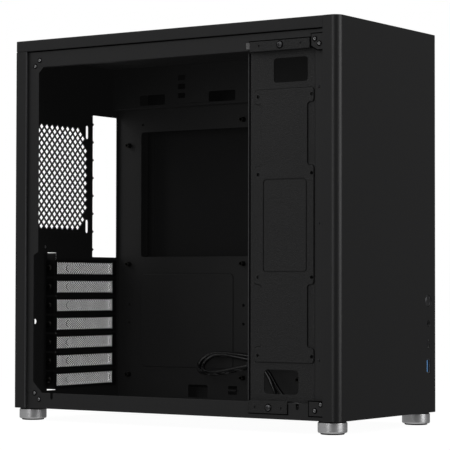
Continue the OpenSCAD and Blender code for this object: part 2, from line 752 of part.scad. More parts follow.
module front_panel() placed() color(skin_black) difference() {
    sheet_xy(0, body_h) front_profile(0);
    translate([0, 0, skin_t]) linear_extrude(body_h - 2 * skin_t) {
        front_profile(skin_t);
        rect(-half_w + skin_t, wing_d - 1, half_w - skin_t, wing_d + 1);
    }
    rod_y(control_x, -1, button_z, skin_t + 2, button_d / 2 + button_gap);
    rod_y(control_x, -1, audio_z, skin_t + 2, audio_r + socket_gap);
    sheet_xz(-1, skin_t + 2) {
        control_rect(usb_a_z, usb_a_size, socket_gap);
        control_rect(usb_c_z, usb_c_size, socket_gap);
    }
}

module front_panel_pins() placed() color(dark) for (q = front_pin_points) {
    rod_y(q[0], skin_t, q[1], wing_d + 1, pin_r);
    rod_y(q[0], skin_t, q[1], pin_head_y, pin_head_r);
}

// Cap with a flange behind the panel and a stem towards the switch
module power_button() placed() color("#303032") {
    flange_y = button_y + skin_t + 0.1;
    stem_y = flange_y + flange_t;
    rod_y(control_x, button_y, button_z, flange_y - button_y, button_d / 2);
    rod_y(control_x, flange_y, button_z, flange_t, button_d / 2 + button_flange);
    rod_y(control_x, stem_y, button_z, switch_y - stem_y - button_travel - 0.1, stem_r);
}

// ---------------------------------------------------------------- top cover and side panel

module top_cover() placed() color(skin_black) {
    cover_x = half_w - cover_gap;
    cover_y0 = wing_d + cover_gap;
    cover_y1 = body_d - cover_gap;
    cover_z = body_h - cover_h;
    sheet_xy(body_h - skin_t, skin_t) rect(-cover_x, cover_y0, cover_x, cover_y1);
    sheet_xy(cover_z, cover_h - skin_t) {
        for (x = [-cover_x, cover_x - skin_t]) rect(x, cover_y0, x + skin_t, cover_y1);
        rect(-cover_x + skin_t, cover_y1 - skin_t, cover_x - skin_t, cover_y1);
    }
}

module top_cover_pins() placed() color(dark) for (q = top_pin_points) {
    under = body_h - skin_t - rail_top_z;
    rod_z(q[0], q[1], rail_top_z - steel_t - pin_tip, under + steel_t + pin_tip, pin_r);
    rod_z(q[0], q[1], rail_top_z + steel_t, under - steel_t, pin_head_r);
}

module right_side_panel() placed() color(skin_black) {
    panel_y0 = wing_d + cover_gap;
    panel_y1 = body_d - column_d - 0.5;
    panel_z1 = body_h - cover_h - 0.5;
    sheet_yz(half_w - side_t, side_t) difference() {
        rect(panel_y0, 0, panel_y1, panel_z1);
        vent_rows(side_vents, side_vent_y);
    }
    sheet_yz(half_w - side_t - side_fold_t, side_fold_t) {
        rect(panel_y0 + 1, side_fold_z[0], panel_y0 + 1 + front_fold_w, side_fold_z[1]);
        rect(panel_y1 - 1 - rear_fold_w, side_fold_z[0], panel_y1 - 1, side_fold_z[1]);
    }
}

module right_side_panel_pins() placed() color(dark) for (q = side_pin_points)
    rod_x(frame_x - steel_t - pin_tip, q[0], q[1], half_w - side_t - frame_x + steel_t + pin_tip, pin_r);

// ---------------------------------------------------------------- drive panel

// Raised field round the two drives' screw holes, waisted beside each drive
module ssd_field() {
    for (z = field_wide_z) round_rect(field_wide_y[0], z[0], field_wide_y[1], z[1], 3);
    for (z = field_waist_z) rect(field_waist_y[0], z[0], field_waist_y[1], z[1]);
}

module ssd_holes() for (y = ssd_columns_y, z = ssd_rows_z) hole(y, z, ssd_hole_r);

module ssd_panel() placed() color("#242426") {
    lower = bottom_tab[3] - steel_t;
    upper = top_tab[1];
    sheet_yz(-ssd_x) difference() {
        rect(ssd_y0, lower, ssd_y1, upper);
        round_box(ssd_window_top, 3);
        round_box(ssd_window_low, 4);
        ssd_holes();
    }
    sheet_yz(-ssd_x - ssd_raise, ssd_raise) difference() {
        ssd_field();
        ssd_holes();
        difference() {
            round_box(island, 4);
            round_rect(island[0] + island_line, island[1] + island_line,
                       island[2] - island_line, island[3] - island_line, 3);
        }
    }
    // Rear edge folded in, with a narrow lip
    sheet_xy(lower, upper - lower) {
        rect(-ssd_x + steel_t, ssd_y1 - steel_t, -ssd_x + ssd_return_d, ssd_y1);
        rect(-ssd_x + ssd_return_d - steel_t, ssd_y1, -ssd_x + ssd_return_d, ssd_y1 + ssd_lip);
    }
    // Steps out to the two tabs that lie on the rails
    tab_out = frame_x + steel_t;
    sheet_xy(upper) rect(-tab_out, top_tab[0], -ssd_x + steel_t, top_tab[2]);
    sheet_xy(lower) rect(-tab_out, bottom_tab[0], -ssd_x + steel_t, bottom_tab[2]);
    sheet_yz(-tab_out) difference() {
        rect(top_tab[0], upper + steel_t, top_tab[2], top_tab[3]);
        holes([top_tab_screw], tab_screw_hole_r);
        holes(top_tab_holes, tab_small_hole_r);
    }
    sheet_yz(-tab_out) difference() {
        rect(bottom_tab[0], bottom_tab[1], bottom_tab[2], lower);
        holes([bottom_tab_screw], tab_screw_hole_r);
        holes(bottom_tab_holes, tab_small_hole_r);
    }
}

module ssd_panel_screws() placed() color("#3a3a3c") for (q = [top_tab_screw, bottom_tab_screw])
    rod_x(-frame_x - steel_t - ssd_screw_h, q[0], q[1], ssd_screw_h, ssd_screw_r);

floor_pan();
top_pan();
rear_wall();
slot_wall();
rear_fan_grille();
motherboard_tray();
upper_tray();
front_plate();
left_top_rail();
left_bottom_rail();
left_rear_post();
left_front_post();
right_top_rail();
right_bottom_rail();
right_rear_post();
right_front_post();
rear_column_left();
rear_column_right();
corner_gussets();
rivets();
standoffs();
slot_cover_1();
slot_cover_2();
slot_cover_3();
slot_cover_4();
slot_cover_5();
slot_cover_6();
slot_cover_7();
slot_ledge();
slot_screws();
slot_guard();
slot_guard_thumbscrews();
psu_bracket();
panel_sockets();
foot_front_left();
foot_front_right();
foot_rear_left();
foot_rear_right();
foot_pads();
foot_washers();
io_board();
usb_a_socket();
usb_c_socket();
audio_socket();
power_switch();
usb_cable();
audio_cable();
usb_plug();
audio_plug();
cable_tie();
front_panel();
front_panel_pins();
power_button();
top_cover();
top_cover_pins();
right_side_panel();
right_side_panel_pins();
ssd_panel();
ssd_panel_screws();
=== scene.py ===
import json
import math

import bmesh
import bpy
from mathutils import Matrix, Vector

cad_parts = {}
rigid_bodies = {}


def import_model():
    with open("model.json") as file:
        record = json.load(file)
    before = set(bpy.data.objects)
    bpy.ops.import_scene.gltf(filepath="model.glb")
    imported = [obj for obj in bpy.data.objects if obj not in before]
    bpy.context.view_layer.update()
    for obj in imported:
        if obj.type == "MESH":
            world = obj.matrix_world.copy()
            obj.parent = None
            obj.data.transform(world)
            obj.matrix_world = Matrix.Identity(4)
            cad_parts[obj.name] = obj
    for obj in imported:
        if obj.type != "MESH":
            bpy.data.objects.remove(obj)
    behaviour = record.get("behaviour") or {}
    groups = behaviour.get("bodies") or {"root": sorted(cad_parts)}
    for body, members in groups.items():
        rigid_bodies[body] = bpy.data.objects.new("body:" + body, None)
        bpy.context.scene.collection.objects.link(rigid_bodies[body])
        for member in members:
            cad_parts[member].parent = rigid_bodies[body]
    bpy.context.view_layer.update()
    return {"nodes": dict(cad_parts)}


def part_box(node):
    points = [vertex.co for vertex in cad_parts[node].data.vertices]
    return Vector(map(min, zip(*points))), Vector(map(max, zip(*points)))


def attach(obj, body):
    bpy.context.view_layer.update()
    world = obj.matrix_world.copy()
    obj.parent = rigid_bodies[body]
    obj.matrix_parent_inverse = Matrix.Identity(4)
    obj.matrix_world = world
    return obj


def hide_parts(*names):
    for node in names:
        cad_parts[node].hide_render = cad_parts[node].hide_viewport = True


# Looks of the desktop computer tower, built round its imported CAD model.
# Pieces are drawn in millimetres in the case's own frame, as the CAD source is: x from the centre
# plane, y back from the front face, z up from the underside of the case. put() turns them into metres.
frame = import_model()

MM = 0.001
panel_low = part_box("front_panel")[0]
ORIGIN = Vector((0, panel_low.y, panel_low.z))
TO_FRAME = Matrix.Translation(ORIGIN) @ Matrix.Scale(MM, 4)


def span(node):
    """Lowest and highest corner of a CAD node, in millimetres of the case's frame."""
    lo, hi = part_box(node)
    return (lo - ORIGIN) / MM, (hi - ORIGIN) / MM


def across(low, high, axis):
    """Middle of a box along one axis."""
    return (low[axis] + high[axis]) / 2


HALF_W, WING_D, BODY_H = span("front_panel")[1]
SKIN_T = 2.0
STEEL_T = 1.0
CORNER_R = 9.0
CONTROL_X = across(*span("usb_a_socket"), 0)
WALL_Y = span("rear_wall")[0].y
TRAY_X = span("motherboard_tray")[0].x
FRAME_X = -span("left_top_rail")[0].x

# ---------------------------------------------------------------- camera

LENS_MM = 158.34
SENSOR_MM = 36.0
CAMERA_PLACE = (-1.72422, -1.16926, 0.14181)
CAMERA_YAW = 0.59327
CAMERA_PITCH = 0.03111
CAMERA_ROLL = 0.00184


def make_camera():
    data = bpy.data.cameras.new("camera")
    data.lens = LENS_MM
    data.sensor_width = SENSOR_MM
    data.clip_start = 0.05
    data.clip_end = 50
    forward = Vector((
        math.cos(CAMERA_YAW) * math.cos(CAMERA_PITCH),
        math.sin(CAMERA_YAW) * math.cos(CAMERA_PITCH),
        math.sin(CAMERA_PITCH),
    ))
    level = Vector((math.sin(CAMERA_YAW), -math.cos(CAMERA_YAW), 0))
    up = level.cross(forward)
    right = math.cos(CAMERA_ROLL) * level + math.sin(CAMERA_ROLL) * up
    top = math.cos(CAMERA_ROLL) * up - math.sin(CAMERA_ROLL) * level
    turn = Matrix((right, top, -forward)).transposed().to_4x4()
    camera = bpy.data.objects.new("camera", data)
    camera.matrix_world = Matrix.Translation(Vector(CAMERA_PLACE)) @ turn
    bpy.context.scene.collection.objects.link(camera)
    bpy.context.scene.camera = camera


make_camera()

# ---------------------------------------------------------------- materials


def set_inputs(node, **values):
    """Sets a node's inputs; an underscore in a name stands for a space."""
    for name, value in values.items():
        node.inputs[name.replace("_", " ")].default_value = value
    return node


def shader_node(tree, kind, **values):
    return set_inputs(tree.nodes.new(f"ShaderNode{kind}"), **values)


def new_material(name, colour, roughness, metallic=0.0, specular=0.5):
    """A material with its Principled shader; constant values sit on the shader's own sockets."""
    material = bpy.data.materials.new(name)
    material.use_nodes = True
    shader = material.node_tree.nodes["Principled BSDF"]
    set_inputs(
        shader, Base_Color=(*colour, 1), Roughness=roughness, Metallic=metallic,
        Specular_IOR_Level=specular, IOR=1.5,
    )
    return material, shader


def noise_node(material, scale, detail=2.0, stretch=(1, 1, 1)):
    """Noise over the object's own coordinates; scale is in features per metre."""
    tree = material.node_tree
    place = shader_node(tree, "TexCoord")
    mapping = shader_node(tree, "Mapping", Scale=stretch)
    noise = shader_node(tree, "TexNoise", Scale=scale, Detail=detail)
    tree.links.new(place.outputs["Object"], mapping.inputs["Vector"])
    tree.links.new(mapping.outputs["Vector"], noise.inputs["Vector"])
    return noise.outputs["Fac"]


def ramp(material, value, stops):
    """Colour or grey ramp over a 0 to 1 value; stops are (position, colour)."""
    node = material.node_tree.nodes.new("ShaderNodeValToRGB")
    elements = node.color_ramp.elements
    while len(elements) < len(stops):
        elements.new(0.5)
    for element, (position, colour) in zip(elements, stops):
        element.position = position
        element.color = (*colour, 1)
    material.node_tree.links.new(value, node.inputs["Fac"])
    return node.outputs["Color"]


def grey(value):
    return (value, value, value)


def bump(material, shader, height, distance):
    node = shader_node(material.node_tree, "Bump", Distance=distance)
    material.node_tree.links.new(height, node.inputs["Height"])
    material.node_tree.links.new(node.outputs["Normal"], shader.inputs["Normal"])


def surface(material, shader, tint, gloss, height, depth):
    """Wires colour, roughness and relief to the shader and gives the finished material."""
    material.node_tree.links.new(tint, shader.inputs["Base Color"])
    material.node_tree.links.new(gloss, shader.inputs["Roughness"])
    bump(material, shader, height, depth)
    return material


def scaled(colour, factor):
    return tuple(channel * factor for channel in colour)


def powder_coat(
    name, colour, roughness, grain=900.0, depth=0.00005, speckle=0.25, painted_glow=0.0, specular=0.5,
):
    """Painted sheet steel: fine orange peel, speckled colour and slightly uneven gloss.

    The glow strength is painted light: the coat glows faintly to stand in for the light that the white
    surroundings leave in the deepest shade.
    """
    material, shader = new_material(name, colour, roughness, specular=specular)
    # Painted light: a faint emission that lifts the coat out of its deepest shade.
    if painted_glow:
        set_inputs(shader, Emission_Color=(1, 1, 1, 1), Emission_Strength=painted_glow)
    fine = noise_node(material, grain, detail=3)
    broad = noise_node(material, 14, detail=2)
    tint = ramp(material, fine, [(0.3, scaled(colour, 1 - speckle)), (0.72, scaled(colour, 1 + speckle))])
    gloss = ramp(material, broad, [(0.3, grey(roughness - 0.04)), (0.7, grey(roughness + 0.05))])
    return surface(material, shader, tint, gloss, fine, depth)


def anodised(name, colour, roughness, grain=1500.0, depth=0.00002):
    """Bead-blasted black anodised aluminium, smoother and more even than the painted steel."""
    material, shader = new_material(name, colour, roughness, specular=0.6)
    fine = noise_node(material, grain, detail=2)
    broad = noise_node(material, 9, detail=3)
    tint = ramp(material, fine, [(0.35, scaled(colour, 0.88)), (0.65, scaled(colour, 1.12))])
    gloss = ramp(material, broad, [(0.3, grey(roughness - 0.02)), (0.7, grey(roughness + 0.03))])
    return surface(material, shader, tint, gloss, fine, depth)


def turned_metal(name, colour, roughness, rings=2600.0, depth=0.00001, metallic=1.0):
    """Turned metal: tool marks run round the axis, so they are bands along z."""
    material, shader = new_material(name, colour, roughness, metallic=metallic)
    marks = noise_node(material, rings, detail=1, stretch=(0.004, 0.004, 1))
    smudge = noise_node(material, 60, detail=3)
    gloss = ramp(material, smudge, [(0.3, grey(roughness * 0.94)), (0.7, grey(roughness * 1.08))])
    tint = ramp(material, marks, [(0.3, scaled(colour, 0.9)), (0.7, scaled(colour, 1.03))])
    return surface(material, shader, tint, gloss, marks, depth)


def plain_metal(name, colour, roughness, grain=1200.0):
    """Stamped or plated metal with a faint random grain."""
    material, shader = new_material(name, colour, roughness, metallic=1.0)
    fine = noise_node(material, grain, detail=3)
    gloss = ramp(material, fine, [(0.3, grey(roughness * 0.8)), (0.7, grey(min(1, roughness * 1.3)))])
    tint = ramp(material, fine, [(0.3, scaled(colour, 0.85)), (0.7, scaled(colour, 1.1))])
    return surface(material, shader, tint, gloss, fine, 0.00001)


def moulded(name, colour, roughness, grain=1800.0, depth=0.00003):
    """Moulded plastic or rubber with a fine spark-eroded grain."""
    material, shader = new_material(name, colour, roughness)
    fine = noise_node(material, grain, detail=3)
    broad = noise_node(material, 40, detail=2)
    tint = ramp(material, broad, [(0.3, scaled(colour, 0.85)), (0.7, scaled(colour, 1.15))])
    gloss = ramp(material, fine, [(0.3, grey(roughness - 0.06)), (0.7, grey(roughness + 0.06))])
    return surface(material, shader, tint, gloss, fine, depth)


def circuit_board(name):
    """Green-black solder mask with darker tracks seen through it."""
    colour = (0.006, 0.03, 0.016)
    material, shader = new_material(name, colour, 0.35)
    tracks = noise_node(material, 260, detail=0, stretch=(1, 1, 0.15))
    tint = ramp(material, tracks, [(0.45, colour), (0.5, scaled(colour, 2.2)), (0.56, colour)])
    material.node_tree.links.new(tint, shader.inputs["Base Color"])
    bump(material, shader, tracks, 0.00002)
    return material


# Strength of the painted glow that lifts the steel's deepest shade.
PAINTED_GLOW_LEVEL = 0.0023
STEEL = powder_coat(
    "powder_coated_steel", (0.0048, 0.0048, 0.0052), 0.52, depth=0.00018, speckle=0.4, painted_glow=PAINTED_GLOW_LEVEL,
)
SIDE_COAT = powder_coat("powder_coated_side_panel", (0.006, 0.006, 0.0064), 0.62, painted_glow=0.0015, specular=0.25)
# Painted highlight: a lighter, glossier copy of the drive panel's coat for the top pull lip; the low lip
# keeps the plain coat.
LIT_LIP_COAT = powder_coat("painted_highlight_lip_coat", (0.02, 0.02, 0.021), 0.26, specular=0.9)
FRAME_COAT = powder_coat("powder_coated_frame", (0.0115, 0.0115, 0.0122), 0.5, painted_glow=0.0015)
DRIVE_COAT = powder_coat(
    "powder_coated_drive_panel", (0.0085, 0.0085, 0.009), 0.5, grain=950,
    depth=0.0005, speckle=0.7, painted_glow=0.001,
)
# Painted highlight: a light coat on thin strips that stands in for the bright lines along lit edges and
# folds.
HIGHLIGHT_COAT = powder_coat("painted_highlight_coat", (0.07, 0.07, 0.073), 0.4)
SKIN = anodised("anodised_aluminium", (0.011, 0.011, 0.0117), 0.33)
COVER_STEEL = powder_coat("perforated_cover_coat", (0.012, 0.012, 0.0125), 0.5)
BLACK_ZINC = plain_metal("black_zinc", (0.3, 0.3, 0.31), 0.28)
# Blackened brass for the standoffs; it also darkens the slot tab screws as painted shade.
PEG_AND_SHADED_SCREW_METAL = plain_metal("blackened_brass_and_painted_shade", (0.07, 0.068, 0.065), 0.5)
SCREW_ZINC = plain_metal("zinc_screw", (0.13, 0.13, 0.135), 0.2)
RIVET_METAL = plain_metal("black_nickel_rivet", (0.28, 0.28, 0.285), 0.18)
PAINTED_RIVET = plain_metal("painted_rivet", (0.06, 0.06, 0.063), 0.38)
FOOT_METAL = turned_metal("turned_aluminium", (0.98, 0.98, 0.99), 0.32, depth=0.000004, metallic=0.85)
# Painted shade: a near-black coat for thin sheets and rings that stand in for shadow lines.
SHADOW_BLACK = powder_coat("painted_shadow_black", (0.002, 0.002, 0.002), 0.85, specular=0.08)
RUBBER = moulded("black_rubber", (0.012, 0.012, 0.012), 0.75)
PLASTIC = moulded("black_plastic", (0.012, 0.012, 0.013), 0.5)
SHELL = plain_metal("socket_shell_steel", (0.55, 0.55, 0.56), 0.32)
BLUE = moulded("blue_tongue_plastic", (0.2, 0.5, 1.0), 0.3)
GOLD = plain_metal("gold_contact", (0.85, 0.6, 0.25), 0.25)
JACKET = moulded("cable_jacket_pvc", (0.009, 0.009, 0.0095), 0.2, grain=500, depth=0.000015)
BOARD = circuit_board("solder_mask")
BUTTON = turned_metal("anodised_button", (0.13, 0.13, 0.135), 0.3)

# ---------------------------------------------------------------- mesh helpers


def baked(made, mesh):
    """Writes a finished bmesh into a mesh."""
    made.to_mesh(mesh)
    made.free()
    return mesh


def join(*parts):
    """One mesh from several."""
    both = bmesh.new()
    for part in parts:
        both.from_mesh(part)
        bpy.data.meshes.remove(part)
    return baked(both, bpy.data.meshes.new("joined"))


def moved(mesh, matrix):
    mesh.transform(matrix)
    if matrix.determinant() < 0:
        mesh.flip_normals()
    return mesh


def copies(mesh, matrices):
    """A mesh repeated at several places, and the first one used up."""
    parts = [moved(mesh.copy(), matrix) for matrix in matrices]
    bpy.data.meshes.remove(mesh)
    return join(*parts)


def evaluated(obj):
    """Final mesh of a scratch object, which is then removed."""
    graph = bpy.context.evaluated_depsgraph_get()
    graph.update()
    mesh = bpy.data.meshes.new_from_object(obj.evaluated_get(graph))
    bpy.data.batch_remove((obj, obj.data))
    return mesh


def scratch(data):
    obj = bpy.data.objects.new("scratch", data)
    bpy.context.scene.collection.objects.link(obj)
    return obj


def cut(mesh, *cutters):
    """The mesh with the cutters taken away."""
    body = scratch(mesh)
    tool = scratch(join(*cutters))
    modifier = body.modifiers.new("cut", "BOOLEAN")
    modifier.operation = "DIFFERENCE"
    modifier.solver = "EXACT"
    modifier.object = tool
    result = evaluated(body)
    bpy.data.batch_remove((tool, tool.data))
    return result


def tidy(mesh, limit=0.002):
    """Merges doubled points and turns every face outwards."""
    made = bmesh.new()
    made.from_mesh(mesh)
    bmesh.ops.remove_doubles(made, verts=made.verts, dist=limit)
    bmesh.ops.recalc_face_normals(made, faces=made.faces)
    return baked(made, mesh)


PLANES = {
    "yz": Matrix(((0, 0, 1), (1, 0, 0), (0, 1, 0))).to_4x4(),
    "xz": Matrix(((1, 0, 0), (0, 0, 1), (0, 1, 0))).to_4x4(),
    "xy": Matrix.Identity(4),
}


def sheet(plane, start, thickness, outline, holes=(), edge=0.15, steps=1):
    """Closed sheet with rounded edges, from start to start + thickness along the plane's normal."""
    curve = bpy.data.curves.new("sheet", "CURVE")
    curve.dimensions = "2D"
    curve.fill_mode = "BOTH"
    for loop in [outline, *holes]:
        spline = curve.splines.new("POLY")
        spline.points.add(len(loop) - 1)
        for point, (a, b) in zip(spline.points, loop):
            point.co = (a, b, 0, 1)
        spline.use_cyclic_u = True
    curve.extrude = thickness / 2 - edge
    curve.bevel_depth = edge
    curve.bevel_resolution = steps
    curve.offset = -edge
    mesh = tidy(evaluated(scratch(curve)))
    moved(mesh, PLANES[plane] @ Matrix.Translation((0, 0, start + thickness / 2)))
    return tidy(mesh)


def rect(a0, b0, a1, b1):
    return [(a0, b0), (a1, b0), (a1, b1), (a0, b1)]


def arc(a, b, r, start, end, steps):
    """Points on an arc, angles in degrees."""
    turn = [math.radians(start + (end - start) * i / steps) for i in range(steps + 1)]
    return [(a + r * math.cos(t), b + r * math.sin(t)) for t in turn]


def round_rect(a0, b0, a1, b1, r, steps=5):
    return (
        arc(a1 - r, b0 + r, r, -90, 0, steps)
        + arc(a1 - r, b1 - r, r, 0, 90, steps)
        + arc(a0 + r, b1 - r, r, 90, 180, steps)
        + arc(a0 + r, b0 + r, r, 180, 270, steps)
    )


def disc(a, b, r, steps=16):
    return arc(a, b, r, 0, 360, steps)[:-1]


def slot_b(a, b, length, r, steps=6):
    """Straight slot along the second axis, with round ends."""
    reach = length / 2 - r
    return arc(a, b + reach, r, 0, 180, steps) + arc(a, b - reach, r, 180, 360, steps)


def slab(x0, y0, z0, x1, y1, z1, edge=0.2):
    """Box with rounded edges."""
    return sheet("xy", z0, z1 - z0, rect(x0, y0, x1, y1), edge=edge)


def lathe(profile, sides=32):
    """Solid turned round Z from (radius, height) points that start and end on the axis."""
    made = bmesh.new()
    rings = []
    for radius, height in profile:
        if radius < 1e-6:
            rings.append([made.verts.new((0, 0, height))])
            continue
        rings.append([
            made.verts.new((radius * math.cos(t), radius * math.sin(t), height))
            for t in [2 * math.pi * i / sides for i in range(sides)]
        ])
    for low, high in zip(rings, rings[1:]):
        for i in range(sides):
            j = (i + 1) % sides
            corners = [low[i % len(low)], low[j % len(low)], high[j % len(high)], high[i % len(high)]]
            made.faces.new(list(dict.fromkeys(corners)))
    return tidy(baked(made, bpy.data.meshes.new("lathe")), 1e-4)


def facing(x, y, z, direction):
    """Places a part made along +Z so that its +Z points along direction."""
    turn = Vector(direction).to_track_quat("Z", "Y").to_matrix().to_4x4()
    return Matrix.Translation((x, y, z)) @ turn


def put(name, mesh, body, material, nodes=(), angle=32.0):
    """Turns a mesh in millimetres into a piece of the object and hides the CAD nodes that it stands for."""
    mesh.transform(TO_FRAME)
    obj = bpy.data.objects.new(name, mesh)
    mesh.name = name
    bpy.context.scene.collection.objects.link(obj)
    mesh.materials.clear()
    mesh.materials.append(material)
    for polygon in mesh.polygons:
        polygon.use_smooth = True
        polygon.material_index = 0
    mesh.set_sharp_from_angle(angle=math.radians(angle))
    weighted = obj.modifiers.new("normals", "WEIGHTED_NORMAL")
    weighted.keep_sharp = True
    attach(obj, body)
    if nodes:
        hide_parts(*nodes)
    return obj


# ---------------------------------------------------------------- front cables

# The same route points as in the CAD source
USB_ROUTE = [
    (76, 15.6, 50), (76, 32, 50), (73.5, 75, 49), (70.5, 130, 49.5), (70, 190, 51.5),
    (70.8, 228, 54.5), (71.2, 246, 55.4), (71.1, 259, 55.2), (70.2, 268, 53), (67.7, 273.7, 48.7),
    (64.3, 275.5, 43.5), (60.9, 273.7, 38.7), (58.4, 268, 35.6), (57.2, 259, 34.6),
    (56.4, 244, 35.4), (56.5, 216, 40), (56.5, 198, 43.5), (55.5, 187, 42.5), (53.5, 178, 36.5),
    (51, 169, 26), (49, 159, 15), (47.5, 147, 8), (46.5, 135, 5.5), (46, 124, 5.5),
]
AUDIO_ROUTE = [
    (76, 15.6, 88), (76, 26, 88), (75.4, 42, 84), (73, 64, 74.5), (69.5, 92, 60.5), (66, 120, 51),
    (64.4, 155, 47), (64.2, 195, 48), (65.2, 228, 52.4), (65.8, 241, 54), (65.6, 252, 54),
    (64.4, 259, 52.4), (61.8, 263.7, 48.6), (58.2, 265.5, 43.8), (54.4, 263.6, 39.2),
    (51.8, 258.6, 36.4), (50.6, 250, 35.6), (50.4, 236, 37.2), (51, 212, 42), (51, 196, 44),
    (49.5, 184, 41.5), (46, 174, 34), (41, 165, 23.5), (34, 156, 13.5), (25, 148, 7.5),
    (15, 141, 5.5), (6, 135, 5.5),
]
USB_R = 2.5
AUDIO_R = 2.2
STEPS_BETWEEN = 6
PIN_PITCH = 2.54


def smooth_route(points):
    """Catmull-Rom curve through the route's points, in metres of the part's frame."""
    path = [Vector(p) for p in points]
    line = []
    for i in range(len(path) - 1):
        a, b, c, d = path[max(i - 1, 0)], path[i], path[i + 1], path[min(i + 2, len(path) - 1)]
        for k in range(STEPS_BETWEEN):
            t = k / STEPS_BETWEEN
            bend = (2 * a - 5 * b + 4 * c - d) * t * t + (3 * b - a - 3 * c + d) * t ** 3
            line.append(0.5 * (2 * b + (c - a) * t + bend))
    line.append(path[-1])
    return [ORIGIN + p * MM for p in line]


def cable(name, route, radius, node):
    line = smooth_route(route)
    curve = bpy.data.curves.new(name, "CURVE")
    curve.dimensions = "3D"
    spline = curve.splines.new("POLY")
    spline.points.add(len(line) - 1)
    for point, place in zip(spline.points, line):
        point.co = (*place, 1)
    spline.use_smooth = True
    curve.bevel_depth = radius * MM
    curve.bevel_resolution = 5
    curve.use_fill_caps = True
    curve.materials.append(JACKET)
    obj = bpy.data.objects.new(name, curve)
    bpy.context.scene.collection.objects.link(obj)
    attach(obj, "chassis")
    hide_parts(node)


def floor_plug(name, route, size, node):
    """Internal connector: housing with ribs, contact windows and a key on top."""
    length, width, height = size
    ways = max(2, round(width / PIN_PITCH) - 1)
    body = sheet("xy", 0, height, round_rect(0, -width / 2, length, width / 2, 0.8, 3), edge=0.5)
    windows = []
    for i in range(ways):
        middle = (i - (ways - 1) / 2) * PIN_PITCH
        windows.append(slab(
            length - 5, middle - 0.8, height * 0.25, length + 1, middle + 0.8, height * 0.75, 0.1,
        ))
    ribs = [
        slab(x, -width / 2 - 0.4, 1, x + 1, width / 2 + 0.4, height - 1, 0.2) for x in (1.5, 3.5, 5.5)
    ]
    key = slab(length * 0.45, -2, height - 0.3, length - 1, 2, height + 0.5, 0.2)
    housing = join(cut(body, *windows), *ribs, key)
    end, before = Vector(route[-1]), Vector(route[-2])
    way = end - before
    turn = Matrix.Rotation(math.atan2(way.y, way.x), 4, "Z")
    moved(housing, Matrix.Translation((end.x, end.y, STEEL_T)) @ turn)
    return put(name, housing, "chassis", PLASTIC, [node])


USB_PLUG_SIZE = (16, 22, 9)
AUDIO_PLUG_SIZE = (14, 12, 9)
usb_plug = floor_plug("usb_inner_plug", USB_ROUTE, USB_PLUG_SIZE, "usb_plug")
audio_plug = floor_plug("audio_inner_plug", AUDIO_ROUTE, AUDIO_PLUG_SIZE, "audio_plug")
cable("usb_front_cable", USB_ROUTE, USB_R, "usb_cable")
cable("audio_front_cable", AUDIO_ROUTE, AUDIO_R, "audio_cable")

# Strap round the bundle, with its lock and the cut tail
TIE_Y0, TIE_Y1 = 196, 200
tie_lo, tie_hi = span("cable_tie")
tie = join(
    sheet(
        "xz", TIE_Y0, TIE_Y1 - TIE_Y0, round_rect(tie_lo.x, tie_lo.z, tie_hi.x, tie_hi.z, 4),
        holes=[round_rect(tie_lo.x + 1.2, tie_lo.z + 1.2, tie_hi.x - 1.2, tie_hi.z - 1.2, 3)], edge=0.3,
    ),
    slab(tie_lo.x - 2.6, TIE_Y0 - 0.8, tie_lo.z + 9, tie_lo.x + 0.6, TIE_Y1 + 0.8, tie_lo.z + 14.5, 0.5),
    slab(tie_lo.x - 2, TIE_Y0 + 0.4, tie_lo.z + 14, tie_lo.x - 0.9, TIE_Y1 - 0.4, tie_lo.z + 21, 0.3),
)
put("cable_strap", tie, "chassis", PLASTIC, ["cable_tie"])

# ---------------------------------------------------------------- CAD nodes that stay


def dress(nodes, material, edge=0.2, segments=1):
    """Gives CAD nodes their material and softens the edges of their sheets."""
    for node in nodes:
        obj = frame["nodes"][node]
        if not obj.material_slots:
            obj.data.materials.append(material)
        for material_slot in obj.material_slots:
            material_slot.link = "OBJECT"
            material_slot.material = material
        if edge:
            weld = obj.modifiers.new("weld", "WELD")
            weld.merge_threshold = 0.01 * MM
            soften = obj.modifiers.new("soften", "BEVEL")
            soften.width = edge * MM
            soften.segments = segments
            soften.limit_method = "ANGLE"
            soften.angle_limit = math.radians(40)
            weighted = obj.modifiers.new("normals", "WEIGHTED_NORMAL")
            weighted.keep_sharp = False


dress([
    "floor_pan", "top_pan", "upper_tray", "front_plate", "right_top_rail",
    "right_bottom_rail", "right_rear_post", "right_front_post", "slot_ledge", "psu_bracket",
], STEEL)
dress(["left_front_post", "slot_guard"], FRAME_COAT, 0.1)
dress(["corner_gussets"], FRAME_COAT, 0.2)
dress(["right_side_panel"], SIDE_COAT, 0.3, 2)
dress(["foot_washers"], RUBBER, 0.2)
dress([
    "panel_sockets", "power_switch", "front_panel_pins", "top_cover_pins", "right_side_panel_pins",
], PLASTIC, 0.3)
dress(["io_board"], BOARD, 0.1)

# ---------------------------------------------------------------- front panel and top cover


def front_outline(inset, rear):
    """The front panel's plan: flat front, two round corners, two wings that end at y = rear."""
    x, r = HALF_W - inset, CORNER_R - inset
    return (
        [(-x, rear)]
        + arc(-x + r, CORNER_R, r, 180, 270, 20)
        + arc(x - r, CORNER_R, r, 270, 360, 20)
        + [(x, rear)]
    )


BUTTON_Z, AUDIO_Z, USB_C_Z, USB_A_Z = [
    across(*span(node), 2) for node in ("power_button", "audio_socket", "usb_c_socket", "usb_a_socket")
]
BUTTON_R = 5.95
AUDIO_R_OUT = 3.1
BUTTON_GAP = 0.3
SOCKET_GAP = 0.35
USB_A_SIZE = (6.9, 14.4)
USB_C_SIZE = (3.4, 9.1)


def bore(radius, z, chamfer=0.3):
    """Cutter for a round hole in the front face, with a small chamfer at its mouth."""
    profile = [(0, -1), (radius + chamfer + 1, -1), (radius, chamfer), (radius, 6), (0, 6)]
    return moved(lathe(profile, 48), facing(CONTROL_X, 0, z, (0, 1, 0)))


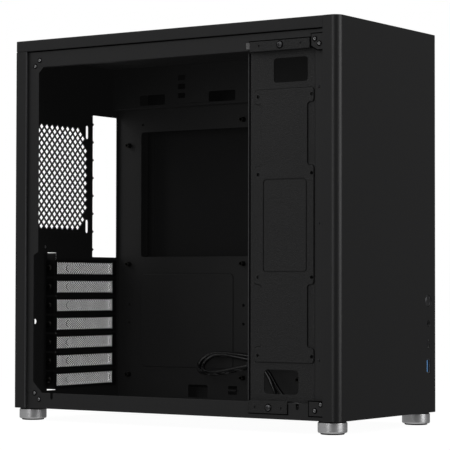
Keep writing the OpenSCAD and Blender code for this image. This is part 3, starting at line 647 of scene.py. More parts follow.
def centred(size, z, inset, corner):
    a, b = size[0] / 2 - inset, size[1] / 2 - inset
    return round_rect(CONTROL_X - a, z - b, CONTROL_X + a, z + b, corner)


def window(size, z, corner):
    """Cutter for a socket's hole in the front face."""
    return sheet("xz", -1, 7, centred(size, z, -SOCKET_GAP, corner), edge=0.05)


front = cut(
    sheet("xy", 0, BODY_H, front_outline(0, WING_D), edge=0.4, steps=2),
    sheet("xy", SKIN_T, BODY_H - 2 * SKIN_T, front_outline(SKIN_T, WING_D + 2), edge=0.05),
    bore(BUTTON_R + BUTTON_GAP, BUTTON_Z),
    bore(AUDIO_R_OUT + SOCKET_GAP, AUDIO_Z),
    window(USB_A_SIZE, USB_A_Z, 0.8),
    window(USB_C_SIZE, USB_C_Z, 1.9),
)
put("front_skin", front, "front_skin", SKIN, ["front_panel"], angle=20)

COVER_LO, COVER_HI = span("top_cover")
cover = cut(
    sheet(
        "xy", COVER_LO.z, COVER_HI.z - COVER_LO.z,
        rect(COVER_LO.x, COVER_LO.y, COVER_HI.x, COVER_HI.y), edge=0.5, steps=2,
    ),
    slab(
        COVER_LO.x + SKIN_T, COVER_LO.y - 2, COVER_LO.z - 2,
        COVER_HI.x - SKIN_T, COVER_HI.y - SKIN_T, COVER_HI.z - SKIN_T, 0.05,
    ),
)
put("top_skin", cover, "top_skin", SKIN, ["top_cover"])

# ---------------------------------------------------------------- front controls


def tube_socket(plan, bore_plan, back):
    """Stamped socket shell: a tube with a closed rear."""
    return join(
        sheet("xz", 0.4, 13.5, plan, holes=[bore_plan], edge=0.12),
        sheet("xz", back, 0.8, bore_plan, edge=0.1),
    )


usb_a = tube_socket(centred(USB_A_SIZE, USB_A_Z, 0, 0.7), centred(USB_A_SIZE, USB_A_Z, 0.4, 0.4), 12.6)
put("usb_a_shell", usb_a, "chassis", SHELL, ["usb_a_socket"])
tongue_x = CONTROL_X - 2.6
tongue = slab(tongue_x, 0.7, USB_A_Z - 6, tongue_x + 2, 12.7, USB_A_Z + 6, 0.2)
put("usb_a_tongue", tongue, "chassis", BLUE)
contacts = join(*[
    slab(tongue_x + 1.9, 2.4, USB_A_Z + z - 0.5, tongue_x + 2.2, 11, USB_A_Z + z + 0.5, 0.05)
    for z in (-3.5, -1.2, 1.2, 3.5)
])
put("usb_a_contacts", contacts, "chassis", GOLD)

usb_c = tube_socket(
    slot_b(CONTROL_X, USB_C_Z, USB_C_SIZE[1], USB_C_SIZE[0] / 2),
    slot_b(CONTROL_X, USB_C_Z, USB_C_SIZE[1] - 0.8, USB_C_SIZE[0] / 2 - 0.4), 9.4,
)
put("usb_c_shell", usb_c, "chassis", SHELL, ["usb_c_socket"])
blade = slab(CONTROL_X - 0.35, 2.2, USB_C_Z - 3, CONTROL_X + 0.35, 9.8, USB_C_Z + 3, 0.12)
put("usb_c_tongue", blade, "chassis", PLASTIC)

jack = lathe([
    (0, 12), (1.8, 12), (1.8, 0.9), (2.1, 0.45), (2.8, 0.4), (3.1, 0.65), (3.1, 13.9), (0, 13.9),
], 32)
moved(jack, facing(CONTROL_X, 0, AUDIO_Z, (0, 1, 0)))
put("audio_jack", jack, "chassis", PLASTIC, ["audio_socket"])

cap = lathe([
    (0, 0.55), (3.4, 0.5), (3.8, 0.45), (4.0, 0.62), (4.3, 0.62), (4.5, 0.36), (5.5, 0.3), (5.95, 0.6),
    (5.95, 2.4), (7.1, 2.4), (7.1, 3.2), (1.5, 3.2), (1.5, 5.6), (0, 5.7),
], 64)
moved(cap, facing(CONTROL_X, 0, BUTTON_Z, (0, 1, 0)))
put("power_button_cap", cap, "button", BUTTON, ["power_button"], angle=25)

# ---------------------------------------------------------------- left frame

FRAME_Y0 = WING_D + 0.5
FRAME_END = 386.0
RAIL_TOP, RAIL_LOW, RAIL_BOTTOM = BODY_H - 12.4, BODY_H - 29, 16.5
POST_Y, POST_LOW_Y, POST_STEP_Z = 371.2, 377.2, 165
RETURN_Y, RETURN_X = 382.1, -91.0

top_rail = join(
    sheet("yz", -FRAME_X, STEEL_T, rect(FRAME_Y0, RAIL_LOW, FRAME_END, RAIL_TOP), edge=0.45, steps=2),
    slab(-FRAME_X + 0.5, 31.2, RAIL_LOW, -FRAME_X + 6, POST_Y - 0.2, RAIL_LOW + STEEL_T, 0.3),
)
put("left_top_rail_sheet", top_rail, "chassis", FRAME_COAT, ["left_top_rail"])

NOTCH_Z, NOTCH_L, NOTCH_R = RAIL_BOTTOM - 1.8, 10, 1.7
bottom_rail = cut(
    sheet("yz", -FRAME_X, STEEL_T, rect(FRAME_Y0, 0, FRAME_END, RAIL_BOTTOM), edge=0.35, steps=2),
    *[sheet("yz", -FRAME_X - 1, 3, slot_b(y, NOTCH_Z, NOTCH_L, NOTCH_R), edge=0.05) for y in (48.1, 352)],
)
put("left_bottom_rail_sheet", bottom_rail, "chassis", FRAME_COAT, ["left_bottom_rail"])

post_outline = [
    (FRAME_END, RAIL_BOTTOM), (FRAME_END, RAIL_LOW), (POST_Y - 6, RAIL_LOW), (POST_Y, RAIL_LOW - 6),
    (POST_Y, POST_STEP_Z), (POST_LOW_Y, POST_STEP_Z - 3), (POST_LOW_Y, RAIL_BOTTOM + 11.5),
    (POST_LOW_Y - 12, RAIL_BOTTOM),
]
rear_post = join(
    sheet("yz", -FRAME_X, STEEL_T, post_outline, edge=0.3, steps=2),
    slab(-FRAME_X + 0.5, RETURN_Y - STEEL_T, RAIL_BOTTOM, RETURN_X, RETURN_Y, RAIL_LOW, 0.3),
    slab(RETURN_X - STEEL_T, RETURN_Y - 0.2, RAIL_BOTTOM, RETURN_X, WALL_Y, RAIL_LOW, 0.3),
)
put("left_rear_post_sheet", rear_post, "chassis", FRAME_COAT, ["left_rear_post"])

# ---------------------------------------------------------------- rear wall

IO = (29, 161.6, 73.45, 320.35)
FAN_X, FAN_Z, FAN_SPACING = -33.7, 248.1, 105
FAN_HALF_W, FAN_HALF_H, FAN_CUT_W, FAN_CUT_H = 53.5, 59.5, 11, 21
WINDOW_X0, WINDOW_Z0, WINDOW_Z1 = -56.4, 16, 165.5
SLOT_X0, SLOT_X1, SLOT_HALF_H = -34.8, 68, 7
SLOT_NODES = [f"slot_cover_{number}" for number in range(1, 8)]
SLOT_Z = [across(*span(node), 2) for node in SLOT_NODES]


def fan_outline():
    """Octagon that the fan's mesh fills."""
    made = []
    for sx, sz in ((1, 1), (-1, 1), (-1, -1), (1, -1)):
        beside = (FAN_X + sx * FAN_HALF_W, FAN_Z + sz * (FAN_HALF_H - FAN_CUT_H))
        above = (FAN_X + sx * (FAN_HALF_W - FAN_CUT_W), FAN_Z + sz * FAN_HALF_H)
        made += [beside, above] if sx * sz > 0 else [above, beside]
    return made


def slot_comb():
    """The card tabs' window with the expansion slots that open into it."""
    made = [(WINDOW_X0, WINDOW_Z1), (WINDOW_X0, WINDOW_Z0), (SLOT_X0, WINDOW_Z0)]
    for z in sorted(SLOT_Z):
        made += [(SLOT_X0, z - SLOT_HALF_H), (SLOT_X1, z - SLOT_HALF_H)]
        made += [(SLOT_X1, z + SLOT_HALF_H), (SLOT_X0, z + SLOT_HALF_H)]
    return made + [(SLOT_X0, WINDOW_Z1)]


fan_slots = [
    slot_b(FAN_X + sx * FAN_SPACING / 2, FAN_Z + sz * FAN_SPACING / 2, 15, 2.2)
    for sx in (-1, 1) for sz in (-1, 1)
]
COLUMN_LO, COLUMN_HI = span("rear_column_left")
COLUMN_Y0 = 385.5
COLUMN_TOP = COLUMN_HI.z + 0.8
WALL_HOLES = ((-70.5, 91, 2.75), (-54, 10, 1.9), (-54, 171.5, 1.9))
HIGHLIGHT_STRIP_W = 1.0
wall_lo, wall_hi = span("rear_wall")
rear_wall = sheet(
    "xz", WALL_Y, STEEL_T, rect(wall_lo.x, STEEL_T, wall_hi.x, COLUMN_TOP),
    holes=[
        round_rect(*IO, 1), fan_outline(), *fan_slots, slot_comb(),
        *[disc(*hole) for hole in WALL_HOLES],
    ], edge=0.2,
)
put("rear_wall_sheet", rear_wall, "chassis", STEEL, ["rear_wall", "slot_wall"])


def column_outline(side):
    """Plan of a corner column: a side leg and a rear leg."""
    half, leg, back = -COLUMN_LO.x, -COLUMN_HI.x, COLUMN_HI.y
    plan = [
        (half, COLUMN_Y0 + HIGHLIGHT_STRIP_W), (half - SKIN_T, COLUMN_Y0 + HIGHLIGHT_STRIP_W),
        (half - SKIN_T, back - SKIN_T), (leg, back - SKIN_T), (leg, back),
        (half - 0.6, back), (half, back - 0.6),
    ]
    return [(side * x, y) for x, y in plan][::-side]


for name, side in (("left", -1), ("right", 1)):
    column = sheet("xy", 0, COLUMN_TOP, column_outline(side))
    put(f"rear_column_{name}_skin", column, "chassis", SKIN, [f"rear_column_{name}"])
# Painted highlight: light strips along the columns' front edges.
highlight_strips = join(*[
    slab(x, COLUMN_Y0, 0.3, x + SKIN_T, COLUMN_Y0 + HIGHLIGHT_STRIP_W, COLUMN_HI.z + 0.5, 0.15)
    for x in (COLUMN_LO.x, -COLUMN_LO.x - SKIN_T)
])
put("rear_column_highlight_strips", highlight_strips, "chassis", HIGHLIGHT_COAT)
laps = join(*[
    slab(x, COLUMN_Y0 + 1, COLUMN_HI.z - 12, x + STEEL_T, WALL_Y - 0.3, COLUMN_HI.z + 6, 0.2)
    for x in (-FRAME_X - 0.4, FRAME_X - 0.6)
])
put("rear_corner_laps", laps, "chassis", STEEL)

MESH_STEP, MESH_HALF_D, MESH_CLEAR = 4.5, 3.15, 3.4


def inside_fan(x, z):
    """True where a whole diamond stays clear of the octagon's edges."""
    clear_sides = abs(x) + MESH_CLEAR < FAN_HALF_W and abs(z) + MESH_CLEAR < FAN_HALF_H
    corner = (FAN_HALF_W - abs(x)) / FAN_CUT_W + (FAN_HALF_H - abs(z)) / FAN_CUT_H
    return clear_sides and corner > 1 + MESH_CLEAR / FAN_CUT_W * 0.9


def diamonds():
    """Diamond holes of the fan's mesh, on every other point of a square grid."""
    for i in range(-12, 13):
        for j in range(-13, 14):
            x, z = i * MESH_STEP, j * MESH_STEP
            if (i + j) % 2 == 0 and inside_fan(x, z):
                x, z = x + FAN_X, z + FAN_Z
                yield [(x + MESH_HALF_D, z), (x, z + MESH_HALF_D), (x - MESH_HALF_D, z), (x, z - MESH_HALF_D)]


grille = sheet("xz", WALL_Y, STEEL_T, fan_outline(), holes=list(diamonds()), edge=0.06, steps=0)
put("fan_mesh", grille, "chassis", STEEL, ["rear_fan_grille"])

# ---------------------------------------------------------------- drive panel

PANEL_X = -93.0
FIELD_X = -94.2
FIELD_T = 2.0
FIELD_EDGE = 0.6
GROOVE_W = 0.5
DRIVE_LO, DRIVE_HI = span("ssd_panel")
DRIVE_Y0, DRIVE_Y1 = 31.3, 105.4
DRIVE_Z0, DRIVE_Z1 = 16.6, 359.7
DRIVE_COLUMNS = (34.3, 96.02)
DRIVE_ROWS = (315.5, 238.9, 138, 61.4)
TAB_X = -99.0
FOLD_X, FOLD_END = -84, 110
TOP_TAB, LOW_TAB = (34, 103.2), (59.4, 103.3)
DRIVE_SCREWS = ((68, 365), (81, 11))
SCREW_HOLE_R, SMALL_HOLE_R, DRIVE_HOLE_R = 1.9, 1.2, 1.75
FIELD_SIDES, FIELD_WAIST = (DRIVE_Y0 + 0.8, 100.3), (39.4, 92.5)
FIELD_BANDS = ((55, 69.5), (131, 246.5), (308, 322))


def right_angled(points, r, steps=5):
    """Rounds each corner of an outline whose sides all meet at right angles."""
    made = []
    for i, point in enumerate(points):
        here = Vector(point)
        back = (Vector(points[i - 1]) - here).normalized()
        on = (Vector(points[(i + 1) % len(points)]) - here).normalized()
        centre = here + r * (back + on)
        for k in range(steps + 1):
            turn = math.pi / 2 * k / steps
            spot = centre - r * (on * math.cos(turn) + back * math.sin(turn))
            made.append((spot.x, spot.y))
    return made


def drive_field(grow=0.0):
    """Plan of the raised field: wide beside the screw rows, waisted beside each drive."""
    right, left = [], []
    for low, high in FIELD_BANDS:
        low, high = low - grow, high + grow
        for made, side, out in ((left, 0, -grow), (right, 1, grow)):
            wide, waist = FIELD_SIDES[side] + out, FIELD_WAIST[side] + out
            made += [(waist, low), (wide, low), (wide, high), (waist, high)]
    return right_angled(right[1:-1] + left[-2:0:-1], 3)


drive_holes = [(y, z) for y in DRIVE_COLUMNS for z in DRIVE_ROWS]
island_ring, island = round_rect(39.5, 142.8, 90.3, 234.4, 4), round_rect(40.8, 144.1, 89, 233.1, 3)
field = cut(
    sheet("yz", FIELD_X, FIELD_T, drive_field(), edge=FIELD_EDGE, steps=3),
    sheet("yz", FIELD_X - 1, 1.9, island_ring, holes=[island], edge=0.02),
    *[sheet("yz", FIELD_X - 1, 4, disc(y, z, DRIVE_HOLE_R), edge=0.02) for y, z in drive_holes],
)
windows = [round_rect(39.5, 328.5, 78.5, 352.5, 3), round_rect(50, 24, 89.4, 47.8, 4)]
plate = sheet(
    "yz", PANEL_X, STEEL_T, rect(DRIVE_Y0, DRIVE_Z0, DRIVE_Y1, DRIVE_Z1),
    holes=[*windows, *[disc(y, z, DRIVE_HOLE_R) for y, z in drive_holes]], edge=0.25, steps=2,
)
plate = cut(plate, sheet("yz", PANEL_X - 1, 1.7, drive_field(GROOVE_W), holes=[drive_field()], edge=0.02))
def drive_tab(ends, low, high, shelf_z, screw, small_holes):
    """Screw tab that stands out from the plate, with the shelf that carries it."""
    shelf = slab(TAB_X + 0.4, ends[0], shelf_z, PANEL_X + STEEL_T, ends[1], shelf_z + 1, 0.3)
    holes = [disc(*screw, SCREW_HOLE_R), *[disc(y, screw[1], SMALL_HOLE_R) for y in small_holes]]
    return shelf, sheet("yz", TAB_X, STEEL_T, rect(ends[0], low, ends[1], high), holes, 0.3, 2)


drive = join(
    plate,
    field,
    slab(PANEL_X + 0.5, DRIVE_Y1 - 1, DRIVE_Z0, FOLD_X, DRIVE_Y1, DRIVE_Z1, 0.3),
    slab(FOLD_X - STEEL_T, DRIVE_Y1 - 0.5, DRIVE_Z0, FOLD_X, FOLD_END, DRIVE_Z1, 0.3),
    *drive_tab(TOP_TAB, DRIVE_Z1, DRIVE_HI.z, DRIVE_Z1, DRIVE_SCREWS[0], (44, 92)),
    *drive_tab(LOW_TAB, DRIVE_LO.z, DRIVE_Z0 + 1, DRIVE_Z0, DRIVE_SCREWS[1], (66, 96.6)),
)


LIP_TURN = 19


def pull_lip(y, z0, z1, length):
    """Short lip bent outwards at the rear end of a tab."""
    lip = sheet("yz", 0, STEEL_T, rect(-0.6, z0, length, z1), edge=0.3)
    return moved(lip, Matrix.Translation((TAB_X, y, 0)) @ Matrix.Rotation(math.radians(LIP_TURN), 4, "Z"))


put("drive_panel_sheet", drive, "drive_panel", DRIVE_COAT, ["ssd_panel"])
# Painted highlight: the top lip wears the lighter lip coat.
top_lip = pull_lip(TOP_TAB[1], 362.4, DRIVE_HI.z - 0.5, 3.6)
put("drive_panel_top_lip", top_lip, "drive_panel", LIT_LIP_COAT)
low_lip = pull_lip(LOW_TAB[1], DRIVE_LO.z, 15, 2)
put("drive_panel_low_lip", low_lip, "drive_panel", DRIVE_COAT)
# Painted highlight: the rear hem wears the light coat for the bright line along the fold.
hem = slab(FOLD_X - 6.6, FOLD_END - 0.9, DRIVE_Z0, FOLD_X, FOLD_END, DRIVE_Z1, 0.2)
put("drive_panel_rear_hem", hem, "drive_panel", HIGHLIGHT_COAT)

# ---------------------------------------------------------------- motherboard tray

TRAY_LO, TRAY_HI = span("motherboard_tray")
BOARD_COLUMNS = (381.5, 226.56, 154.17)
SPARE_ROWS = (108.3, 88)
COOLER_CUTOUT = (203, 162, 365.4, 303, 3)
CABLE_HOLES = ((122, 120, 140, 300, 3), (274, 6, 300, 20.2, 2), (120, 30, 140, 90, 3))
CLIP_SLOTS = ((235, 10.7, 246.4, 14.5), (235, 16.3, 246.4, 20.1))
tray_sheet = sheet(
    "yz", TRAY_X, STEEL_T, rect(TRAY_LO.y, TRAY_LO.z, TRAY_HI.y, TRAY_HI.z),
    holes=[
        round_rect(*COOLER_CUTOUT), *[round_rect(*hole) for hole in CABLE_HOLES],
        *[rect(*hole) for hole in CLIP_SLOTS],
        *[disc(y, z, 1.6) for y in BOARD_COLUMNS[:2] for z in SPARE_ROWS], disc(363, 311.5, 1.6),
    ], edge=0.25, steps=2,
)
emboss = round_rect(240, 39, 365, 143, 5)
groove = sheet("yz", TRAY_X - 1, 1.5, round_rect(239.5, 38.5, 365.5, 143.5, 5.5), holes=[emboss], edge=0.02)
tray = join(
    cut(tray_sheet, groove),
    sheet("yz", TRAY_X - 0.9, 1.8, emboss, edge=0.6, steps=3),
    slab(TRAY_X - 2.6, 234.4, 14.6, TRAY_X - 1.8, 247, 16.2, 0.25),
    slab(TRAY_X - 2.2, 234.4, 14.6, TRAY_X + 0.5, 235.2, 16.2, 0.25),
    slab(TRAY_X - 2.2, 246.2, 14.6, TRAY_X + 0.5, 247, 16.2, 0.25),
)
put("motherboard_tray_sheet", tray, "chassis", STEEL, ["motherboard_tray"])

# ---------------------------------------------------------------- slot covers

HOLE_PITCH = 2.25
HOLE_R = 0.87
MESH_X0, MESH_X1 = -34.0, 66.0
STADIUM_X0, STADIUM_X1 = -12.0, 57.0
STADIUM_R = 5.2
STADIUM_SLOPE = 1.6
STADIUM_RISE = 1.7


def mesh_holes():
    """Close-packed round holes; every other column is shifted by half a pitch."""
    column = HOLE_PITCH * math.sqrt(3) / 2
    count = int((MESH_X1 - MESH_X0 - 2 * HOLE_R) / column)
    for i in range(count + 1):
        x = MESH_X0 + HOLE_R + i * column
        rows = 6 if i % 2 == 0 else 5
        for j in range(rows):
            yield x, (j - (rows - 1) / 2) * HOLE_PITCH


def press_out(x, z):
    """Depth of the long embossed oval at a point of a cover, in millimetres."""
    beside = max(STADIUM_X0 - x, 0, x - STADIUM_X1)
    distance = math.hypot(beside, z)
    t = min(max((STADIUM_R - distance) / STADIUM_SLOPE, 0), 1)
    return STADIUM_RISE * t * t * (3 - 2 * t)


def slot_cover_mesh():
    """Perforated blanking plate with its emboss and screw tab, centred on z = 0."""
    low, high = span("slot_cover_1")
    half = (high.z - low.z) / 2
    thick = 0.8
    plate = sheet(
        "xz", WALL_Y - thick, thick, rect(low.x, -half, high.x, half),
        holes=[disc(x, z, HOLE_R, 8) for x, z in mesh_holes()], edge=0.08, steps=0,
    )
    for vertex in plate.vertices:
        vertex.co.y += press_out(vertex.co.x, vertex.co.z)
    tab = sheet(
        "yz", low.x, thick, rect(WALL_Y - 0.4, -half, high.y, half),
        holes=[disc(WALL_Y + 6.4, 0, 2)], edge=0.2,
    )
    return join(plate, tab)


cover_mesh = slot_cover_mesh()
for node in SLOT_NODES:
    low, high = span(node)
    one = moved(cover_mesh.copy(), Matrix.Translation((0, 0, across(low, high, 2))))
    put(f"perforated_{node}", one, "chassis", COVER_STEEL, [node])

# ---------------------------------------------------------------- fasteners


def cross_recess(width, length, depth, top):
    """Cutter for a cross-head driver's recess, centred on the Z axis."""
    parts = []
    for turn in (0, 90):
        arm = slab(-length / 2, -width / 2, top - depth, length / 2, width / 2, top + 1, 0.05)
        parts.append(moved(arm, Matrix.Rotation(math.radians(turn), 4, "Z")))
    return parts


def pan_head(radius, height, shank_r, shank_l):
    """Cross-head screw standing on z = 0, its shank below."""
    head = lathe([
        (0, -shank_l), (shank_r * 0.7, -shank_l), (shank_r, -shank_l + 0.5), (shank_r, 0), (radius, 0),
        (radius, height * 0.2), (radius * 0.93, height * 0.5), (radius * 0.76, height * 0.8),
        (radius * 0.46, height * 0.96), (0, height),
    ])
    for arm in cross_recess(radius * 0.26, radius * 1.15, height * 0.7, height):
        head = cut(head, arm)
    return head


tab_screw = pan_head(3.2, 2, 1.5, 4.4)
SCREW_X = span("slot_cover_1")[0].x
# Painted shade: the slot tab screws wear the dark standoff metal so that they stay in deep shade.
put(
    "slot_tab_screws",
    copies(tab_screw, [facing(SCREW_X, WALL_Y + 6.4, z, (-1, 0, 0)) for z in SLOT_Z]),
    "chassis", PEG_AND_SHADED_SCREW_METAL, ["slot_screws"],
)
drive_screw = pan_head(3.1, 1.8, 1.4, 0.9)
put(
    "drive_panel_screws",
    copies(drive_screw, [facing(TAB_X, y, z, (-1, 0, 0)) for y, z in DRIVE_SCREWS]),
    "drive_panel", SCREW_ZINC, ["ssd_panel_screws"],
)


def shadow_disc(radius):
    """Thin black disc under a head: a painted shadow ring round it."""
    return lathe([(0, -0.1), (radius, -0.1), (radius, 0.12), (0, 0.12)], 24)


# Painted shadow: black rings round the drive screws' heads.
screw_shadow_rings = copies(shadow_disc(3.9), [facing(TAB_X, y, z, (-1, 0, 0)) for y, z in DRIVE_SCREWS])
put("drive_panel_screw_shadow_rings", screw_shadow_rings, "drive_panel", SHADOW_BLACK)


def thumbscrew():
    """Knurled head with a driver slot, standing on z = 0."""
    made = lathe([
        (0, -3), (1.1, -3), (1.5, -2.6), (1.5, 0), (3.0, 0), (3.0, 0.8),
        (3.6, 1.1), (3.6, 5.4), (3.2, 6), (0, 6),
    ], 48)
    for vertex in made.vertices:
        if vertex.co.z > 1 and math.hypot(vertex.co.x, vertex.co.y) > 3.4:
            spoke = round(math.atan2(vertex.co.y, vertex.co.x) / (2 * math.pi / 48))
            if spoke % 2:
                vertex.co.x *= 0.93
                vertex.co.y *= 0.93
    return cut(made, slab(-4, -0.5, 4.9, 4, 0.5, 7, 0.05))


guard_lo, guard_hi = span("slot_guard_thumbscrews")
put(
    "guard_thumbscrews",
    copies(thumbscrew(), [
        facing(across(guard_lo, guard_hi, 0), WALL_Y + 2 * STEEL_T, z, (0, 1, 0))
        for z in (guard_lo.z + 3.6, guard_hi.z - 3.6)
    ]),
    "rear_guard", BLACK_ZINC, ["slot_guard_thumbscrews"], angle=20,
)


def pop_rivet(radius, height):
    """Domed rivet with the dimple that its mandrel leaves."""
    return lathe([
        (0, -0.2), (radius, -0.2), (radius, 0.1), (radius * 0.86, height * 0.72), (radius * 0.6, height),
        (radius * 0.4, height * 0.9), (radius * 0.34, height * 0.35), (0, height * 0.3),
    ], 24)


gusset_y0 = span("corner_gussets")[0].y
# Painted shadow: thin black sheets just proud of the frame draw dark shadow lines round the gussets and the
# drive tabs.
top_shadow_outline = [(gusset_y0, 356.4), (25.4, 356.4), (33, 360.9), (33, 374), (gusset_y0, 374)]
shadow_outline_shapes = [
    (top_shadow_outline, [
        (gusset_y0 + 1, 357.6), (24.9, 357.6), (31.9, 361.6), (31.9, 372.9), (gusset_y0 + 1, 372.9),
    ]),
    (rect(gusset_y0, 3.6, 35.8, 19.4), rect(gusset_y0 + 1, 4.8, 34.6, 18.2)),
    (rect(32.9, 361, 104.4, DRIVE_HI.z + 1.1), rect(TOP_TAB[0], 362, TOP_TAB[1], DRIVE_HI.z)),
    (rect(58.3, DRIVE_LO.z - 1.1, 104.4, 15), rect(LOW_TAB[0], DRIVE_LO.z, LOW_TAB[1], 14)),
]
shadow_outlines = join(*[sheet("yz", -FRAME_X - 0.15, 0.15, out, holes=[hole], edge=0.02) for out, hole in shadow_outline_shapes])
put("left_frame_shadow_outlines", shadow_outlines, "chassis", SHADOW_BLACK)

FRAME_RIVETS = ((370, 368.4), (376, 362.4), (375, 16), (369, 9.6))
GUSSET_RIVETS = ((28, 368), (23, 363.2), (21.4, 16), (28, 9.8))
POST_RIVETS = (322, 190, 58)
POST_X = -span("left_front_post")[0].x
places, small_places = [], []
for side in (-1, 1):
    out = (side, 0, 0)
    places += [facing(side * FRAME_X, y, z, out) for y, z in FRAME_RIVETS]
    places += [facing(side * (FRAME_X + 0.6), y, z, out) for y, z in GUSSET_RIVETS]
    small_places += [facing(side * POST_X, 27, z, out) for z in POST_RIVETS]
put("pop_rivets", copies(pop_rivet(1.9, 0.9), places), "chassis", RIVET_METAL, ["rivets"])
# Painted shadow: black rings round the rivets' heads.
put("rivet_shadow_rings", copies(shadow_disc(2.8), places), "chassis", SHADOW_BLACK)
post_rivets = copies(pop_rivet(1.4, 0.6), small_places)
put("post_rivets", post_rivets, "chassis", PAINTED_RIVET)

BOARD_ROWS = (29.5, 153.96, 311.44)
TOP_REAR_ROW = BOARD_ROWS[2] - 22.86
STANDOFF_H = 6.35
standoff_places = [
    (y, TOP_REAR_ROW if y == BOARD_COLUMNS[0] and z == BOARD_ROWS[2] else z)
    for y in BOARD_COLUMNS for z in BOARD_ROWS
]
hexagon = cut(
    lathe([(0, 0), (2.9, 0), (2.9, STANDOFF_H - 0.4), (2.5, STANDOFF_H), (0, STANDOFF_H)], 6),
    lathe([
        (0, 0.6), (1.45, 0.6), (1.45, STANDOFF_H - 0.5), (2.1, STANDOFF_H + 0.5), (0, STANDOFF_H + 0.5),
    ], 20),
)
put(
    "hex_standoffs",
    copies(hexagon, [facing(TRAY_X, y, z, (-1, 0, 0)) for y, z in standoff_places]),
    "chassis", PEG_AND_SHADED_SCREW_METAL, ["standoffs"],
)

# Little pressed bumps down the side of the connector cut-out that grip its shield
SHIELD_X, SHIELD_Z0, SHIELD_PITCH = 29.0, 170.0, 20.0
bumps = copies(
    lathe([(0, -0.6), (1.8, -0.6), (1.7, 0), (1.3, 0.9), (0, 1.4)], 16),
    [facing(SHIELD_X - 0.1, WALL_Y + 0.5, SHIELD_Z0 + SHIELD_PITCH * i, (1, 0, 0)) for i in range(8)],
)
put("shield_grip_bumps", bumps, "chassis", STEEL)

# ---------------------------------------------------------------- feet


def foot_mesh(low, high):
    """Turned ring: domed edges, a fine groove and a recess that holds the rubber pad."""
    r = (high.x - low.x) / 2
    top, bottom = high.z, low.z
    return lathe([
        (0, top), (r - 1.2, top), (r - 0.4, top - 0.1), (r - 0.1, top - 0.35), (r, top - 0.7),
        (r, bottom + 1.5),
        (r - 0.12, bottom + 1.0), (r - 0.4, bottom + 0.5), (r - 0.9, bottom + 0.1), (r - 1.4, bottom),
        (r - 2.6, bottom), (r - 2.6, bottom + 1.6), (0, bottom + 1.6),
    ], 96)


foot_places = []
for corner in ("front_left", "front_right", "rear_left", "rear_right"):
    node = f"foot_{corner}"
    low, high = span(node)
    foot_places.append(Matrix.Translation((across(low, high, 0), across(low, high, 1), 0)))
    ring = moved(foot_mesh(low, high), foot_places[-1])
    put(f"turned_{node}", ring, "chassis", FOOT_METAL, [node], angle=25)

pad_lo, pad_hi = span("foot_pads")
PAD_R = (span("foot_front_left")[1].x - span("foot_front_left")[0].x) / 2 - 2.6
pad = lathe([
    (0, pad_hi.z), (PAD_R, pad_hi.z), (PAD_R, pad_lo.z + 0.8), (PAD_R - 0.25, pad_lo.z + 0.3),
    (PAD_R - 0.8, pad_lo.z), (8.4, pad_lo.z), (8.1, pad_lo.z + 0.5), (7.4, pad_lo.z + 0.5),
    (7.1, pad_lo.z), (4.4, pad_lo.z), (4.1, pad_lo.z + 0.5), (3.4, pad_lo.z + 0.5),
    (3.1, pad_lo.z), (0, pad_lo.z),
], 64)
pads = copies(pad, foot_places)
put("rubber_foot_pads", pads, "chassis", RUBBER, ["foot_pads"])

# ---------------------------------------------------------------- studio

CAMERA_SIDE = (-0.755, -0.656, 0.0)
FRONT_MIRROR = (0.83, -0.56, 0.0)
ROOM_LEVEL = 0.3
WHITE = (1, 1, 1, 1)
FLOOR_GLOW, FLOOR_SHADE = 0.965, (0.12, 0.12, 0.12, 1)
FADE_START, FADE_END = 0.3, 0.9


def toward(tree, direction, near, far, outside, inside):
    """1-D window over the sphere: goes from outside to inside as a ray turns towards direction."""
    place = shader_node(tree, "TexCoord")
    dot = shader_node(tree, "VectorMath")
    dot.operation = "DOT_PRODUCT"
    dot.inputs[1].default_value = direction
    level = shader_node(tree, "MapRange", From_Min=near, From_Max=far, To_Min=outside, To_Max=inside)
    level.interpolation_type = "SMOOTHSTEP"
    tree.links.new(place.outputs["Generated"], dot.inputs[0])
    tree.links.new(dot.outputs["Value"], level.inputs["Value"])
    return level.outputs["Result"]


def product(tree, first, second):
    times = shader_node(tree, "Math")
    times.operation = "MULTIPLY"
    tree.links.new(first, times.inputs[0])
    tree.links.new(second, times.inputs[1])
    return times.outputs["Value"]


def make_world():
    """White backdrop; what lights the object is grey, brighter above, darker on two sides."""
    world = bpy.data.worlds.new("studio")
    bpy.context.scene.world = world
    world.use_nodes = True
    tree = world.node_tree
    tree.nodes.clear()
    output = shader_node(tree, "OutputWorld")
    mix = shader_node(tree, "MixShader")
    path = shader_node(tree, "LightPath")
    backdrop = shader_node(tree, "Background", Color=WHITE)
    room = shader_node(tree, "Background")
    level = product(
        tree,
        toward(tree, CAMERA_SIDE, 0.8, 0.95, ROOM_LEVEL, ROOM_LEVEL * 0.4),
        product(
            tree,
            toward(tree, FRONT_MIRROR, 0.5, 0.9, 1.0, 0.48),
            product(
                tree,
                toward(tree, (0, 0, 1), -0.3, 0.7, 0.85, 1.7),
                toward(tree, (0, 0, -1), 0.55, 0.85, 1.0, 2.2),
            ),
        ),
    )
    tree.links.new(level, room.inputs["Strength"])
    tree.links.new(path.outputs["Is Camera Ray"], mix.inputs["Fac"])
    tree.links.new(room.outputs["Background"], mix.inputs[1])
    tree.links.new(backdrop.outputs["Background"], mix.inputs[2])
    tree.links.new(mix.outputs["Shader"], output.inputs["Surface"])


def softbox(name, place, aim, width, height, radiance):
    data = bpy.data.lights.new(name, "AREA")
    data.shape = "RECTANGLE"
    data.size = width
    data.size_y = height
    data.energy = radiance * math.pi * width * height
    obj = bpy.data.objects.new(name, data)
    way = Vector(aim) - Vector(place)
    obj.matrix_world = Matrix.Translation(place) @ way.to_track_quat("-Z", "Y").to_matrix().to_4x4()
    obj.visible_camera = False
    bpy.context.scene.collection.objects.link(obj)


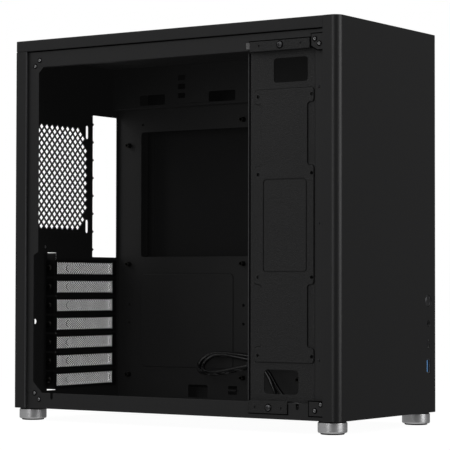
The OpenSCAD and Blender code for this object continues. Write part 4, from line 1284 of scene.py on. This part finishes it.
MIDDLE = (0, 0, 0.2)
make_world()
softbox("left_softbox", (-2.6, -0.15, 0.9), MIDDLE, 0.7, 2.0, 1.1)
softbox("front_softbox", (0.15, -2.6, 0.9), MIDDLE, 1.4, 2.0, 1.6)
softbox("high_left_softbox", (-1.43, 1.46, 1.61), MIDDLE, 0.9, 0.9, 1.3)
softbox("top_softbox", (-0.3, -0.3, 2.6), MIDDLE, 2.0, 2.0, 1.0)


def make_floor():
    """Pale floor that catches the feet's soft shadows and fades to white further out."""
    made = bmesh.new()
    bmesh.ops.create_circle(made, cap_ends=True, segments=64, radius=8)
    mesh = baked(made, bpy.data.meshes.new("floor"))
    floor = bpy.data.objects.new("floor", mesh)
    bpy.context.scene.collection.objects.link(floor)
    material = bpy.data.materials.new("pale_floor")
    material.use_nodes = True
    tree = material.node_tree
    tree.nodes.clear()
    output = shader_node(tree, "OutputMaterial")
    mix = shader_node(tree, "MixShader")
    near = shader_node(tree, "AddShader")
    glow = shader_node(tree, "Emission", Color=WHITE, Strength=FLOOR_GLOW)
    matt = shader_node(tree, "BsdfDiffuse", Color=FLOOR_SHADE)
    far = shader_node(tree, "Emission", Color=WHITE)
    place = shader_node(tree, "TexCoord")
    reach = shader_node(tree, "VectorMath")
    reach.operation = "LENGTH"
    fade = shader_node(tree, "MapRange", From_Min=FADE_START, From_Max=FADE_END)
    fade.interpolation_type = "SMOOTHSTEP"
    tree.links.new(place.outputs["Object"], reach.inputs[0])
    tree.links.new(reach.outputs["Value"], fade.inputs["Value"])
    tree.links.new(fade.outputs["Result"], mix.inputs["Fac"])
    tree.links.new(glow.outputs["Emission"], near.inputs[0])
    tree.links.new(matt.outputs["BSDF"], near.inputs[1])
    tree.links.new(near.outputs["Shader"], mix.inputs[1])
    tree.links.new(far.outputs["Emission"], mix.inputs[2])
    tree.links.new(mix.outputs["Shader"], output.inputs["Surface"])
    mesh.materials.append(material)
    floor.visible_diffuse = False
    floor.visible_glossy = False


make_floor()
bpy.context.scene.view_settings.view_transform = "Standard"
